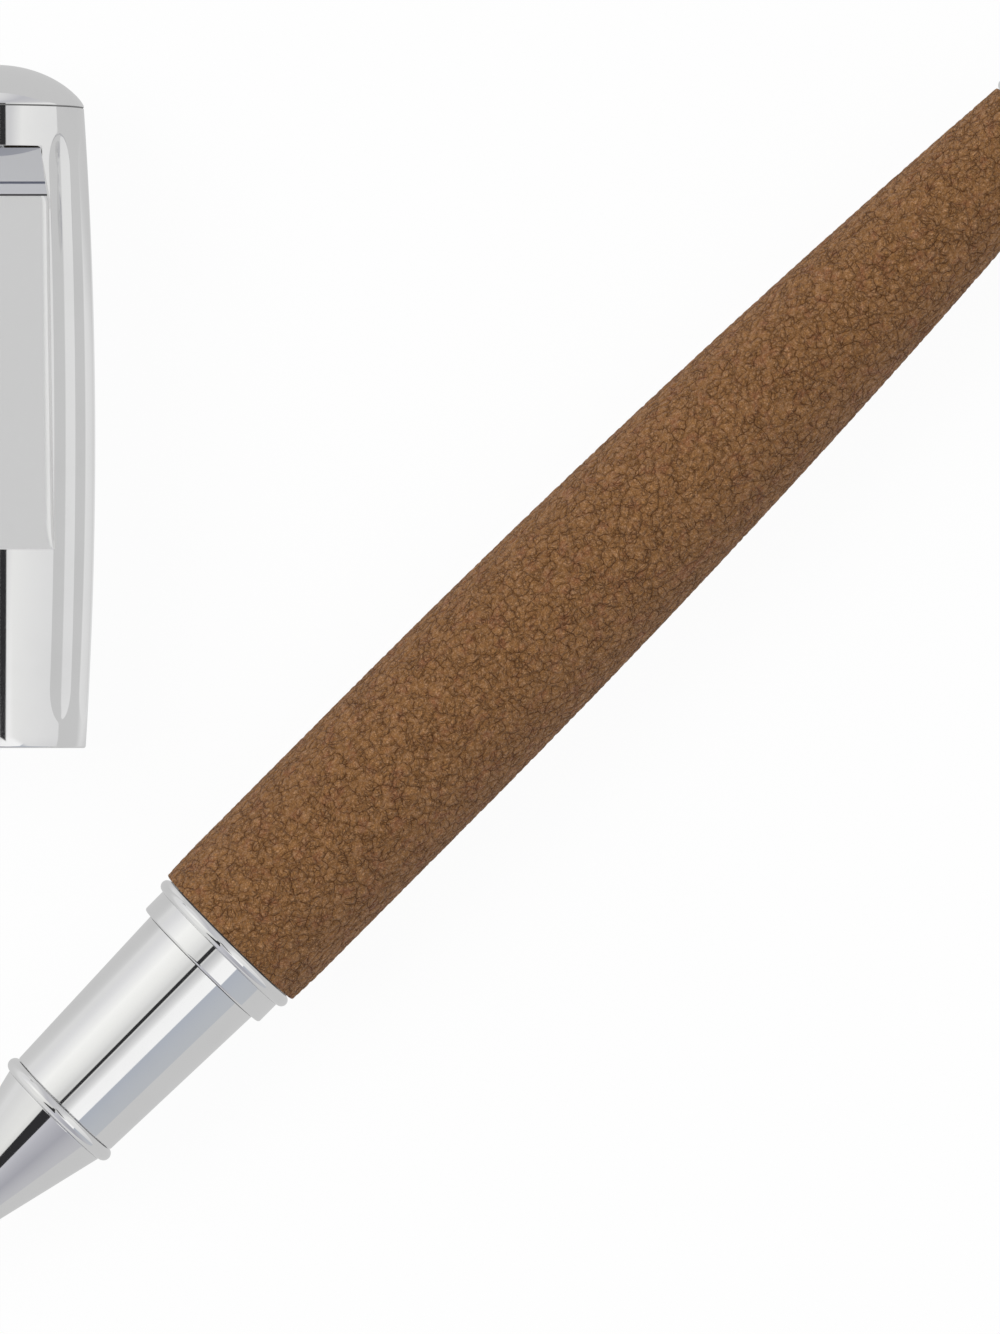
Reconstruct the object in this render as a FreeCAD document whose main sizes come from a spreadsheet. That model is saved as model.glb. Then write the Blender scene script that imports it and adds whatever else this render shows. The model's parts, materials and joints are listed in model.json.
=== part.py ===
"""A rollerball pen with its cap taken off and laid beside it.

Millimetres.  The pen lies along X with its writing tip towards -X.  The origin is on its axis, in the
middle of the collar band that the cap seats on.  The cap lies at an angle beside it, clip up.  Cap pieces
are drawn along their own X axis, from the mouth towards the crown, and their placement then lays them down.
"""
import FreeCAD, Part
import os
import re
import Sketcher

SIZES = {
    # Fits
    "fixed_gap": 0.03,          # between round pieces that are pressed or glued together
    "running_gap": 0.06,        # between pieces that turn or slide in one another
    "seam": 0.05,               # between faces that butt
    # Leather-covered barrel
    "leather_radius": 6.63,
    "leather_edge_drop": 0.11,  # how much lower the leather is rolled at its front edge
    "leather_edge_run": 3.5,
    "leather_straight": 18.5,
    "leather_tail_radius": 4.07,
    "leather_thickness": 0.85,
    "barrel_wall": 0.5,
    # Collar at the barrel's front: the band inside the cap's mouth and the bead that stops it
    "band_length": 1.9,
    "band_drop": 0.51,          # from the bead down to the band
    "band_round": 0.2,
    "bead_length": 1.0,
    "bead_drop": 0.08,          # from the leather's front edge down to the bead
    "bead_rise": 0.25,
    "collar_spigot": 3.0,
    # Thread between the barrel and the writing section
    "thread_wall": 0.56,        # of the collar's spigot, between the thread and the tube
    "thread_bush_length": 4.0,
    "thread_reach": 8.9,
    # Writing section
    "section_length": 14.4,
    "section_rear_radius": 5.28,
    "section_front_radius": 4.77,
    "section_bore_radius": 3.9,
    "sleeve_bore_radius": 3.4,
    "sleeve_shank_radius": 4.3,
    "sleeve_shank_length": 5.0,
    "ring_length": 1.15,
    "ring_radius": 5.16,
    "ring_rise": 0.3,
    "nose_length": 14.5,
    "nose_rear_radius": 4.63,
    "nose_front_radius": 1.15,
    "nose_front_round": 0.15,
    "nose_spigot_length": 4.5,
    "nose_bore_radius": 3.2,
    "nose_bore_length": 3.3,
    "nose_hole_radius": 0.85,
    "nose_hole_length": 1.0,
    # Refill
    "refill_length": 110.5,
    "refill_radius": 3.0,
    "refill_wall": 0.25,
    "refill_plug_flange": 0.6,
    "refill_plug_spigot": 3.5,
    "holder_rim_length": 3.0,
    "holder_spigot": 5.0,
    "tip_length": 2.9,
    "tip_radius": 0.75,
    "tip_cone_length": 1.5,
    "tip_shank_radius": 0.6,
    "tip_shank_length": 3.3,
    "ball_radius": 0.35,
    "ball_shows": 0.25,
    "ball_running_gap": 0.02,
    "ink_channel_radius": 0.15,
    "feed_radius": 0.75,
    "feed_length": 36.0,
    # Refill spring and the barrel's tail
    "spring_length": 7.3,
    "spring_outer_radius": 2.3,
    "spring_wire": 0.35,
    "spring_pitch": 1.3,
    "tail_plug_length": 2.7,
    "tail_stud_radius": 1.2,
    "tail_stud_length": 2.2,
    "tail_ring_length": 1.0,
    "tail_ring_radius": 4.27,
    "tail_ring_rise": 0.3,
    "finial_radius": 3.85,
    "finial_length": 6.0,
    "finial_end_radius": 1.9,
    "finial_end_length": 0.9,
    # Cap as it lies
    "cap_mouth_x": -0.24,
    "cap_mouth_y": 22.18,
    "cap_turn": 44.82,
    # Cap shell and crown
    "cap_length": 47.4,
    "cap_mouth_radius": 6.65,
    "cap_belly_radius": 7.36,
    "cap_belly_place": 22.6,
    "cap_bore_radius": 6.0,
    "cap_lip_round": 0.15,
    "cap_top_wall": 1.0,
    "crown_rim": 0.2,
    "crown_height": 3.15,
    "crown_stud_radius": 1.3,
    "crown_stud_into_crown": 1.7,
    "crown_stud_into_block": 3.2,
    # Flutes along the cap
    "flute_width": 2.25,
    "flute_depth": 0.15,
    "flute_first_angle": 45.0,
    "flute_second_angle": 71.0,
    "flute_from_mouth": 1.9,
    "flute_from_crown": 2.0,
    # Liner and seal inside the cap
    "liner_start": 2.05,
    "liner_bore_radius": 5.4,
    "liner_lip_radius": 5.1,
    "liner_lip_place": 15.2,
    "liner_lip_length": 0.7,
    "liner_wall": 0.72,
    "seal_length": 10.3,
    "seal_bore_radius": 2.35,
    "seal_floor": 1.6,
    # Block that carries the clip inside the cap
    "block_length": 7.8,
    "block_flat": 4.95,
    "block_slot_floor": 1.6,
    "block_slot_front": 0.9,
    "block_slot_back": 1.0,
    # Window in the shell and the clip that comes out of it
    "window_from_top": 2.8,
    "window_length": 5.1,
    "window_half_width": 3.45,
    "clip_half_width": 4.0,
    "clip_root_half_width": 3.37,
    "clip_taper_length": 3.65,
    "clip_root_gap": 0.35,
    "clip_root_hollow": 0.4,
    "clip_root_length": 4.45,
    "clip_root_depth": 5.3,
    "clip_root_shoulder": 6.15,
    "clip_slope_length": 2.4,
    "clip_slope_top": 9.2,
    "clip_ridge_length": 0.9,
    "clip_ridge_top": 9.5,
    "clip_step": 0.15,
    "clip_panel_length": 26.1,
    "clip_panel_drop": 0.6,
    "clip_thickness": 1.15,
    "clip_bevel": 0.42,
    "clip_pad_length": 1.4,
    "clip_pad_gap": 0.1,
    # Hinge pin, tongue and spring of the clip
    "pin_radius": 0.5,
    "pin_half_length": 3.5,
    "pin_height": 4.0,
    "pin_behind_root": 1.85,
    "tongue_half_width": 1.6,
    "tongue_eye_radius": 1.2,
    "tongue_heel_length": 2.5,
    "tongue_heel_thickness": 1.3,
    "clip_spring_radius": 0.8,
    "clip_spring_wire": 0.22,
    "clip_spring_pitch": 0.5,
}

# Stations along the pen, each worked out from the sizes
SEAT = "band_length / 2"                                     # where the cap's mouth stops
SECTION_REAR = "-band_length / 2"
SECTION_FRONT = f"({SECTION_REAR} - section_length)"
NOSE_REAR = f"({SECTION_FRONT} - ring_length)"
NOSE_FRONT = f"({NOSE_REAR} - nose_length)"
TIP_END = f"({NOSE_FRONT} - tip_length)"
LEATHER_FRONT = f"({SEAT} + bead_length + seam)"
TAPER_START = f"({LEATHER_FRONT} + leather_straight)"
REFILL_REAR = f"({TIP_END} + refill_length)"
SPRING_SEAT = f"({REFILL_REAR} + spring_length + 2 * seam)"
LEATHER_TAIL = f"({SPRING_SEAT} + tail_plug_length)"
RING_FRONT = f"({LEATHER_TAIL} + seam)"
RING_REAR = f"({RING_FRONT} + tail_ring_length)"
FINIAL_FRONT = f"({RING_REAR} + seam)"
FINIAL_REAR = f"({FINIAL_FRONT} + finial_length)"

# Radii that follow from their neighbours
TAPER_DROP = "(leather_radius - leather_tail_radius)"
TAPER_RUN = f"({LEATHER_TAIL} - {TAPER_START})"
TAPER_ARC = f"({TAPER_RUN}^2 + {TAPER_DROP}^2) / (2 * {TAPER_DROP})"
TUBE_RADIUS = "(leather_radius - leather_thickness - fixed_gap)"
TUBE_TAIL_RADIUS = "(leather_tail_radius - leather_thickness - fixed_gap)"
TUBE_BORE = f"({TUBE_RADIUS} - barrel_wall)"
TUBE_TAIL_BORE = f"({TUBE_TAIL_RADIUS} - barrel_wall)"
THREAD_BORE = f"({TUBE_BORE} - fixed_gap - thread_wall)"
THREAD_RADIUS = f"({THREAD_BORE} - running_gap)"
EDGE_RADIUS = "(leather_radius - leather_edge_drop)"
BEAD_RADIUS = f"({EDGE_RADIUS} - bead_drop)"
BAND_RADIUS = f"({BEAD_RADIUS} - band_drop)"
REFILL_BORE = "(refill_radius - refill_wall)"
REFILL_PLUG = f"({REFILL_BORE} - fixed_gap)"
FEED_BORE = "(feed_radius + fixed_gap)"

# The inside cone of the nose, and the refill's own cone that rests in it
INNER_CONE_REAR = f"({NOSE_REAR} - nose_bore_length)"
INNER_CONE_FRONT = f"({NOSE_FRONT} + nose_hole_length)"
CONE_SLOPE = f"((nose_bore_radius - nose_hole_radius) / ({INNER_CONE_REAR} - {INNER_CONE_FRONT}))"
HOLDER_FRONT_RADIUS = "(nose_hole_radius - running_gap)"
HOLDER_SHOULDER = f"({INNER_CONE_FRONT} + (refill_radius - {HOLDER_FRONT_RADIUS}) / {CONE_SLOPE})"
HOLDER_REAR = f"({HOLDER_SHOULDER} + holder_rim_length)"
TUBE_FRONT = f"({HOLDER_REAR} + seam)"
SPIGOT_REAR = f"({TUBE_FRONT} + holder_spigot)"
BALL_CENTRE = f"({TIP_END} + ball_radius)"
SHANK_REAR = f"({INNER_CONE_FRONT} + tip_shank_length)"
FEED_FRONT = f"({SHANK_REAR} + seam)"
PLUG_FRONT = f"({REFILL_REAR} - refill_plug_flange - refill_plug_spigot)"

# The cap's belly is one arc; its radius at any station along the cap follows from it
BELLY_DROP = "(cap_belly_radius - cap_mouth_radius)"
BELLY_ARC = f"((cap_belly_place^2 + {BELLY_DROP}^2) / (2 * {BELLY_DROP}))"
BELLY_CENTRE = f"(cap_belly_radius - {BELLY_ARC})"
BLOCK_TOP = "(cap_length - cap_top_wall - seam)"
BLOCK_BOTTOM = f"({BLOCK_TOP} - block_length)"
LINER_END = f"({BLOCK_BOTTOM} - seam)"
LINER_SEAT = "(cap_bore_radius - fixed_gap - liner_wall)"
WINDOW_TOP = "(cap_length - window_from_top)"
WINDOW_BOTTOM = f"({WINDOW_TOP} - window_length)"
CLIP_ROOT = f"({WINDOW_TOP} - clip_root_gap)"
SLOPE_END = f"({CLIP_ROOT} - clip_slope_length)"
RIDGE_END = f"({SLOPE_END} - clip_ridge_length)"
PANEL_START = f"({RIDGE_END} - seam)"
PANEL_TOP = "(clip_ridge_top - clip_step)"
CLIP_END = f"({PANEL_START} - clip_panel_length)"
PIN_PLACE = f"({CLIP_ROOT} - pin_behind_root)"
HEEL_END = f"({PIN_PLACE} + tongue_heel_length)"
HEEL_UNDER = "(pin_height - tongue_heel_thickness / 2)"

LEFT = 1        # a side of an outline that bulges to the left of the way it is drawn
RIGHT = -1      # the same, to the right

doc = FreeCAD.newDocument("RollerballPen")
sheet = doc.addObject("Spreadsheet::Sheet", "Sizes")
sub_parts = []


def fill_sheet():
    """Write every driving size into the sheet as a plain number with its alias."""
    for row, (alias, size) in enumerate(SIZES.items(), start=1):
        sheet.set(f"A{row}", alias.replace("_", " "))
        sheet.set(f"B{row}", str(size))
        sheet.setAlias(f"B{row}", alias)
    doc.recompute()


def bound(expression):
    """The expression with the sheet's name before each of its sizes."""
    return re.sub(r"[a-z]\w*", lambda word: f"Sizes.{word[0]}" if word[0] in SIZES else word[0], expression)


def value(expression):
    """The expression's present value in millimetres."""
    return float(sheet.evalExpression(expression))


def on_belly(station):
    """Radius of the cap's outside at a station along the cap."""
    return f"({BELLY_CENTRE} + sqrt({BELLY_ARC}^2 - ({station} - cap_belly_place)^2))"


def arc_for_rise(chord, rise):
    """Radius of the arc that rises over a chord."""
    return f"(({chord})^2 / 4 + ({rise})^2) / (2 * ({rise}))"


def new_body(name):
    body = doc.addObject("PartDesign::Body", name + "_body")
    body.Label = name
    return body


def new_sketch(body, name, role="XY_Plane"):
    """A sketch on one of the body's own origin planes."""
    sketch = body.newObject("Sketcher::SketchObject", name)
    plane = next(feature for feature in body.Origin.OriginFeatures if feature.Role == role)
    sketch.AttachmentSupport = (plane, [""])
    sketch.MapMode = "FlatFace"
    return sketch


def hold(sketch, kind, elements, expression):
    """Add a constraint whose value is bound to the sheet."""
    index = sketch.addConstraint(Sketcher.Constraint(kind, *elements, value(expression)))
    sketch.setExpression(f"Constraints[{index}]", bound(expression))


def arc_between(start, end, radius, bulge):
    """The short arc of a radius from start to end, bulging to one side."""
    chord = end - start
    rise = radius - max(radius ** 2 - chord.Length ** 2 / 4, 0) ** 0.5
    left = FreeCAD.Vector(-chord.y, chord.x, 0).normalize()
    return Part.Arc(start, (start + end) / 2 + left * rise * bulge, end)


def draw_outline(sketch, corners):
    """Draw a closed outline.  A corner is (x, y), or (x, y, radius, side) where an arc leads to the next."""
    points = [FreeCAD.Vector(value(corner[0]), value(corner[1]), 0) for corner in corners]
    first = sketch.GeometryCount
    starts = []
    ends = []
    for index, corner in enumerate(corners):
        start = points[index]
        end = points[(index + 1) % len(points)]
        if len(corner) == 2:
            sketch.addGeometry(Part.LineSegment(start, end), False)
            starts.append(1)
            ends.append(2)
        else:
            sketch.addGeometry(arc_between(start, end, value(corner[2]), corner[3]), False)
            starts.append(2 if corner[3] == LEFT else 1)
            ends.append(1 if corner[3] == LEFT else 2)
    for index, corner in enumerate(corners):
        side = first + index
        following = (index + 1) % len(corners)
        joined = (side, ends[index], first + following, starts[following])
        sketch.addConstraint(Sketcher.Constraint("Coincident", *joined))
        hold(sketch, "DistanceX", (-1, 1, side, starts[index]), corner[0])
        hold(sketch, "DistanceY", (-1, 1, side, starts[index]), corner[1])
        if len(corner) == 4:
            hold(sketch, "Radius", (side,), corner[2])


def draw_circle(sketch, across, up, radius):
    centre = FreeCAD.Vector(value(across), value(up), 0)
    circle = sketch.addGeometry(Part.Circle(centre, FreeCAD.Vector(0, 0, 1), value(radius)), False)
    hold(sketch, "DistanceX", (-1, 1, circle, 3), across)
    hold(sketch, "DistanceY", (-1, 1, circle, 3), up)
    hold(sketch, "Radius", (circle,), radius)


def draw_rectangle(sketch, low_x, low_y, high_x, high_y):
    draw_outline(sketch, [(low_x, low_y), (high_x, low_y), (high_x, high_y), (low_x, high_y)])


def turn(body, corners):
    """Revolve an outline about the body's X axis."""
    sketch = new_sketch(body, "Outline")
    draw_outline(sketch, corners)
    feature = body.newObject("PartDesign::Revolution", "Turned")
    feature.Profile = sketch
    feature.ReferenceAxis = (sketch, ["H_Axis"])
    feature.Angle = 360
    return feature


def pad_both_ways(body, sketch, half_width):
    feature = body.newObject("PartDesign::Pad", "Pad")
    feature.Profile = sketch
    feature.SideType = "Symmetric"
    feature.setExpression("Length", bound(f"2 * ({half_width})"))
    return feature


def pocket(body, sketch, depth, both_ways=False, flip=False):
    """Cut a sketch's outline out of the body, and make sure that it cuts something."""
    doc.recompute()
    before = body.Shape.Volume
    feature = body.newObject("PartDesign::Pocket", "Pocket")
    feature.Profile = sketch
    feature.SideType = "Symmetric" if both_ways else "One side"
    feature.Reversed = flip
    feature.setExpression("Length", bound(f"2 * ({depth})" if both_ways else depth))
    doc.recompute()
    if body.Shape.Volume >= before:
        raise RuntimeError(f"a pocket in {body.Label} cuts nothing")
    return feature


def lay_on_cap(piece, along="0", up="0"):
    """Place a piece of the cap where the cap lies, rolled onto its belly beside the barrel."""
    piece.Placement = FreeCAD.Placement(FreeCAD.Vector(), FreeCAD.Rotation(FreeCAD.Vector(0, 0, 1), 45))
    piece.setExpression("Placement.Rotation.Angle", bound("cap_turn"))
    piece.setExpression("Placement.Base.x", bound(f"cap_mouth_x + ({along}) * cos(cap_turn)"))
    piece.setExpression("Placement.Base.y", bound(f"cap_mouth_y + ({along}) * sin(cap_turn)"))
    piece.setExpression("Placement.Base.z", bound(f"cap_belly_radius - leather_radius + ({up})"))


def turned_piece(name, corners, on_cap=False):
    """A round sub-part made from one outline."""
    body = new_body(name)
    turn(body, corners)
    if on_cap:
        lay_on_cap(body)
    sub_parts.append(body)
    return body


# --- Barrel -------------------------------------------------------------------------------------------

def make_barrel_tube():
    turned_piece("barrel_tube", [
        (LEATHER_FRONT, TUBE_RADIUS),
        (TAPER_START, TUBE_RADIUS, TAPER_ARC, LEFT),
        (LEATHER_TAIL, TUBE_TAIL_RADIUS),
        (LEATHER_TAIL, TUBE_TAIL_BORE, TAPER_ARC, RIGHT),
        (TAPER_START, TUBE_BORE),
        (LEATHER_FRONT, TUBE_BORE),
    ])


def make_leather_sleeve():
    turned_piece("leather_sleeve", [
        (LEATHER_FRONT, EDGE_RADIUS),
        (f"{LEATHER_FRONT} + leather_edge_run", "leather_radius"),
        (TAPER_START, "leather_radius", TAPER_ARC, LEFT),
        (LEATHER_TAIL, "leather_tail_radius"),
        (LEATHER_TAIL, "leather_tail_radius - leather_thickness", TAPER_ARC, RIGHT),
        (TAPER_START, "leather_radius - leather_thickness"),
        (LEATHER_FRONT, "leather_radius - leather_thickness"),
    ])


def make_barrel_collar():
    """Chrome band and bead, with a spigot pressed into the barrel tube."""
    bead_shoulder = f"{BEAD_RADIUS} - bead_rise"
    bead_rear = f"{SEAT} + bead_length"
    spigot_rear = f"{LEATHER_FRONT} + collar_spigot"
    turned_piece("barrel_collar", [
        (SECTION_REAR, THREAD_BORE),
        (SECTION_REAR, f"{BAND_RADIUS} - band_round", "band_round", LEFT),
        (f"{SECTION_REAR} + band_round", BAND_RADIUS),
        (SEAT, BAND_RADIUS),
        (SEAT, bead_shoulder, arc_for_rise("bead_length", "bead_rise"), LEFT),
        (bead_rear, bead_shoulder),
        (bead_rear, f"{TUBE_BORE} - fixed_gap"),
        (spigot_rear, f"{TUBE_BORE} - fixed_gap"),
        (spigot_rear, THREAD_BORE),
    ])


def make_thread_bush():
    """Brass bush behind the collar that the writing section screws into."""
    front = f"({LEATHER_FRONT} + collar_spigot + seam)"
    rear = f"{front} + thread_bush_length"
    turned_piece("thread_bush", [
        (front, THREAD_BORE),
        (front, f"{TUBE_BORE} - fixed_gap"),
        (rear, f"{TUBE_BORE} - fixed_gap"),
        (rear, THREAD_BORE),
    ])


def make_tail_plug():
    """Brass plug in the barrel's tail: the spring stands on it and the finial's stud screws into it."""
    stud_end = f"{FINIAL_FRONT} - tail_stud_length - seam"
    turned_piece("tail_plug", [
        (SPRING_SEAT, "0"),
        (SPRING_SEAT, f"{TUBE_TAIL_BORE} - fixed_gap"),
        (LEATHER_TAIL, f"{TUBE_TAIL_BORE} - fixed_gap"),
        (LEATHER_TAIL, "tail_stud_radius + fixed_gap"),
        (stud_end, "tail_stud_radius + fixed_gap"),
        (stud_end, "0"),
    ])


def make_tail_ring():
    shoulder = "tail_ring_radius - tail_ring_rise"
    turned_piece("tail_ring", [
        (RING_FRONT, "tail_stud_radius + fixed_gap"),
        (RING_FRONT, shoulder, arc_for_rise("tail_ring_length", "tail_ring_rise"), LEFT),
        (RING_REAR, shoulder),
        (RING_REAR, "tail_stud_radius + fixed_gap"),
    ])


def make_tail_finial():
    """Chrome end piece with its threaded stud."""
    stud_end = f"{FINIAL_FRONT} - tail_stud_length"
    dome_end = f"{FINIAL_REAR} - finial_end_length"
    slant = "sqrt((finial_length - finial_end_length)^2 + (finial_radius - finial_end_radius)^2)"
    turned_piece("tail_finial", [
        (stud_end, "0"),
        (stud_end, "tail_stud_radius"),
        (FINIAL_FRONT, "tail_stud_radius"),
        (FINIAL_FRONT, "finial_radius", f"1.6 * {slant}", LEFT),
        (dome_end, "finial_end_radius", arc_for_rise("2 * finial_end_radius", "finial_end_length"), LEFT),
        (FINIAL_REAR, "0"),
    ])


def coil_spring(name, role, axis, start, length, mean_radius, wire, pitch):
    """A body holding one helical wire about an axis of its sketch."""
    body = new_body(name)
    sketch = new_sketch(body, "Wire", role)
    if axis == "H_Axis":
        draw_circle(sketch, start, mean_radius, f"{wire} / 2")
    else:
        draw_circle(sketch, mean_radius, start, f"{wire} / 2")
    feature = body.newObject("PartDesign::AdditiveHelix", "Coil")
    feature.Profile = sketch
    feature.ReferenceAxis = (sketch, [axis])
    feature.Mode = "pitch-height-angle"
    feature.setExpression("Pitch", bound(pitch))
    feature.setExpression("Height", bound(length))
    sub_parts.append(body)
    return body


def make_refill_spring():
    coil_spring("refill_spring", "XY_Plane", "H_Axis", f"{REFILL_REAR} + seam + spring_wire / 2",
                "spring_length - spring_wire", "spring_outer_radius - spring_wire / 2",
                "spring_wire", "spring_pitch")


# --- Writing section ----------------------------------------------------------------------------------

def make_grip_section():
    step = f"{SECTION_REAR} - sleeve_shank_length - seam"
    turned_piece("grip_section", [
        (SECTION_FRONT, "section_bore_radius"),
        (SECTION_FRONT, "section_front_radius"),
        (f"{SECTION_REAR} - 2 * seam", "section_rear_radius"),
        (f"{SECTION_REAR} - 2 * seam", "sleeve_shank_radius + fixed_gap"),
        (step, "sleeve_shank_radius + fixed_gap"),
        (step, "section_bore_radius"),
    ])


def make_section_sleeve():
    """Brass sleeve: its shank is pressed into the grip section and its thread screws into the barrel."""
    front = f"{SECTION_REAR} - sleeve_shank_length"
    shoulder = f"{SECTION_REAR} - seam"
    rear = f"{SECTION_REAR} + thread_reach"
    turned_piece("section_sleeve", [
        (front, "sleeve_bore_radius"),
        (front, "sleeve_shank_radius"),
        (shoulder, "sleeve_shank_radius"),
        (shoulder, THREAD_RADIUS),
        (rear, THREAD_RADIUS),
        (rear, "sleeve_bore_radius"),
    ])


def make_section_ring():
    shoulder = "ring_radius - ring_rise"
    front = f"{NOSE_REAR} + seam"
    rear = f"{SECTION_FRONT} - seam"
    turned_piece("section_ring", [
        (front, "section_bore_radius"),
        (front, shoulder, arc_for_rise("ring_length - 2 * seam", "ring_rise"), LEFT),
        (rear, shoulder),
        (rear, "section_bore_radius"),
    ])


def make_nose_cone():
    spigot = "section_bore_radius - fixed_gap"
    spigot_rear = f"{NOSE_REAR} + nose_spigot_length"
    turned_piece("nose_cone", [
        (NOSE_FRONT, "nose_hole_radius"),
        (NOSE_FRONT, "nose_front_radius - nose_front_round", "nose_front_round", LEFT),
        (f"{NOSE_FRONT} + nose_front_round", "nose_front_radius"),
        (NOSE_REAR, "nose_rear_radius"),
        (NOSE_REAR, spigot),
        (spigot_rear, spigot),
        (spigot_rear, "nose_bore_radius"),
        (INNER_CONE_REAR, "nose_bore_radius"),
        (INNER_CONE_FRONT, "nose_hole_radius"),
    ])


# --- Refill -------------------------------------------------------------------------------------------

def make_refill_tube():
    rear = f"{REFILL_REAR} - refill_plug_flange - seam"
    turned_piece("refill_tube", [
        (TUBE_FRONT, REFILL_BORE),
        (TUBE_FRONT, "refill_radius"),
        (rear, "refill_radius"),
        (rear, REFILL_BORE),
    ])


def make_refill_holder():
    """Plastic front of the refill, which rests in the nose's inside cone."""
    turned_piece("refill_holder", [
        (INNER_CONE_FRONT, "tip_shank_radius + fixed_gap"),
        (INNER_CONE_FRONT, HOLDER_FRONT_RADIUS),
        (HOLDER_SHOULDER, "refill_radius"),
        (HOLDER_REAR, "refill_radius"),
        (HOLDER_REAR, REFILL_PLUG),
        (SPIGOT_REAR, REFILL_PLUG),
        (SPIGOT_REAR, FEED_BORE),
        (SHANK_REAR, FEED_BORE),
        (SHANK_REAR, "tip_shank_radius + fixed_gap"),
    ])


def make_refill_tip():
    """Steel tip with the ball's socket at its front and an ink channel through it."""
    socket = "ball_radius + ball_running_gap"
    front = f"{TIP_END} + ball_shows"
    socket_floor = f"{TIP_END} + 2 * ball_radius + ball_running_gap"
    turned_piece("refill_tip", [
        (front, socket),
        (front, f"{socket} + 0.06"),
        (f"{TIP_END} + tip_cone_length", "tip_radius"),
        (f"{INNER_CONE_FRONT} - seam", "tip_radius"),
        (f"{INNER_CONE_FRONT} - seam", "tip_shank_radius"),
        (SHANK_REAR, "tip_shank_radius"),
        (SHANK_REAR, "ink_channel_radius"),
        (socket_floor, "ink_channel_radius"),
        (socket_floor, socket),
    ])


def make_writing_ball():
    ball = doc.addObject("Part::Sphere", "writing_ball_sphere")
    ball.Label = "writing_ball"
    ball.setExpression("Radius", bound("ball_radius"))
    ball.setExpression("Placement.Base.x", bound(BALL_CENTRE))
    sub_parts.append(ball)


def make_ink_feed():
    """Fibre rod that draws the ink from the reservoir to the tip."""
    turned_piece("ink_feed", [
        (FEED_FRONT, "0"),
        (FEED_FRONT, "feed_radius"),
        (f"{FEED_FRONT} + feed_length", "feed_radius"),
        (f"{FEED_FRONT} + feed_length", "0"),
    ])


def make_ink_reservoir():
    """Ink-soaked fibre that fills the refill tube, with the feed's rear end in its middle."""
    feed_end = f"{FEED_FRONT} + feed_length + seam"
    turned_piece("ink_reservoir", [
        (f"{SPIGOT_REAR} + seam", FEED_BORE),
        (f"{SPIGOT_REAR} + seam", REFILL_PLUG),
        (f"{PLUG_FRONT} - seam", REFILL_PLUG),
        (f"{PLUG_FRONT} - seam", "0"),
        (feed_end, "0"),
        (feed_end, FEED_BORE),
    ])


def make_refill_plug():
    flange = f"{REFILL_REAR} - refill_plug_flange"
    turned_piece("refill_plug", [
        (PLUG_FRONT, "0"),
        (PLUG_FRONT, REFILL_PLUG),
        (flange, REFILL_PLUG),
        (flange, "refill_radius"),
        (REFILL_REAR, "refill_radius"),
        (REFILL_REAR, "0"),
    ])


# --- Cap ----------------------------------------------------------------------------------------------

def make_shell_blank():
    """The shell as turned, with the window that the clip comes out of."""
    body = new_body("shell_blank")
    lip = on_belly("cap_lip_round")
    turn(body, [
        ("0", "cap_bore_radius"),
        ("0", f"{lip} - cap_lip_round", "cap_lip_round", LEFT),
        ("cap_lip_round", lip, BELLY_ARC, LEFT),
        ("cap_length", on_belly("cap_length")),
        ("cap_length", "crown_stud_radius + fixed_gap"),
        ("cap_length - cap_top_wall", "crown_stud_radius + fixed_gap"),
        ("cap_length - cap_top_wall", "cap_bore_radius"),
    ])
    window = new_sketch(body, "Window")
    draw_rectangle(window, WINDOW_BOTTOM, "-window_half_width", WINDOW_TOP, "window_half_width")
    pocket(body, window, "cap_belly_radius + 1", flip=True)
    return body


def make_flute_cutter():
    """A bent rod with round ends that follows the belly and sinks into it by the flute's depth."""
    sagitta = "(cap_belly_radius - sqrt(cap_belly_radius^2 - flute_width^2 / 4))"
    cut_depth = f"(flute_depth + {sagitta})"
    rod = f"((flute_width^2 / 4 + {cut_depth}^2) / (2 * {cut_depth}))"
    bend = f"({BELLY_ARC} - flute_depth + {rod})"
    low = f"asin((flute_from_mouth + flute_width / 2 - cap_belly_place) / {bend})"
    high = f"asin((cap_length - flute_from_crown - flute_width / 2 - cap_belly_place) / {bend})"
    bar = doc.addObject("Part::Torus", "FluteBar")
    bar.setExpression("Radius1", bound(bend))
    bar.setExpression("Radius2", bound(rod))
    bar.setExpression("Angle3", bound(f"{high} - {low}"))
    bar_end = doc.addObject("Part::Sphere", "FluteMouthEnd")
    crown_end = doc.addObject("Part::Sphere", "FluteCrownEnd")
    for end, lean in ((bar_end, low), (crown_end, high)):
        end.setExpression("Radius", bound(rod))
        end.setExpression("Placement.Base.x", bound(f"cap_belly_place + {bend} * sin({lean})"))
        end.setExpression("Placement.Base.z", bound(f"{BELLY_CENTRE} + {bend} * cos({lean})"))
    # The bar stands upright along the cap, and starts at the flute's crown end
    lean_back = FreeCAD.Rotation(FreeCAD.Vector(0, 0, 1), 90 - value(high))
    upright = FreeCAD.Rotation(FreeCAD.Vector(1, 0, 0), 90)
    bar.Placement = FreeCAD.Placement(FreeCAD.Vector(), upright * lean_back)
    bar.setExpression("Placement.Base.x", bound("cap_belly_place"))
    bar.setExpression("Placement.Base.z", bound(BELLY_CENTRE))
    cutter = doc.addObject("Part::MultiFuse", "FluteCutter")
    cutter.Shapes = [bar, bar_end, crown_end]
    return cutter


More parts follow.
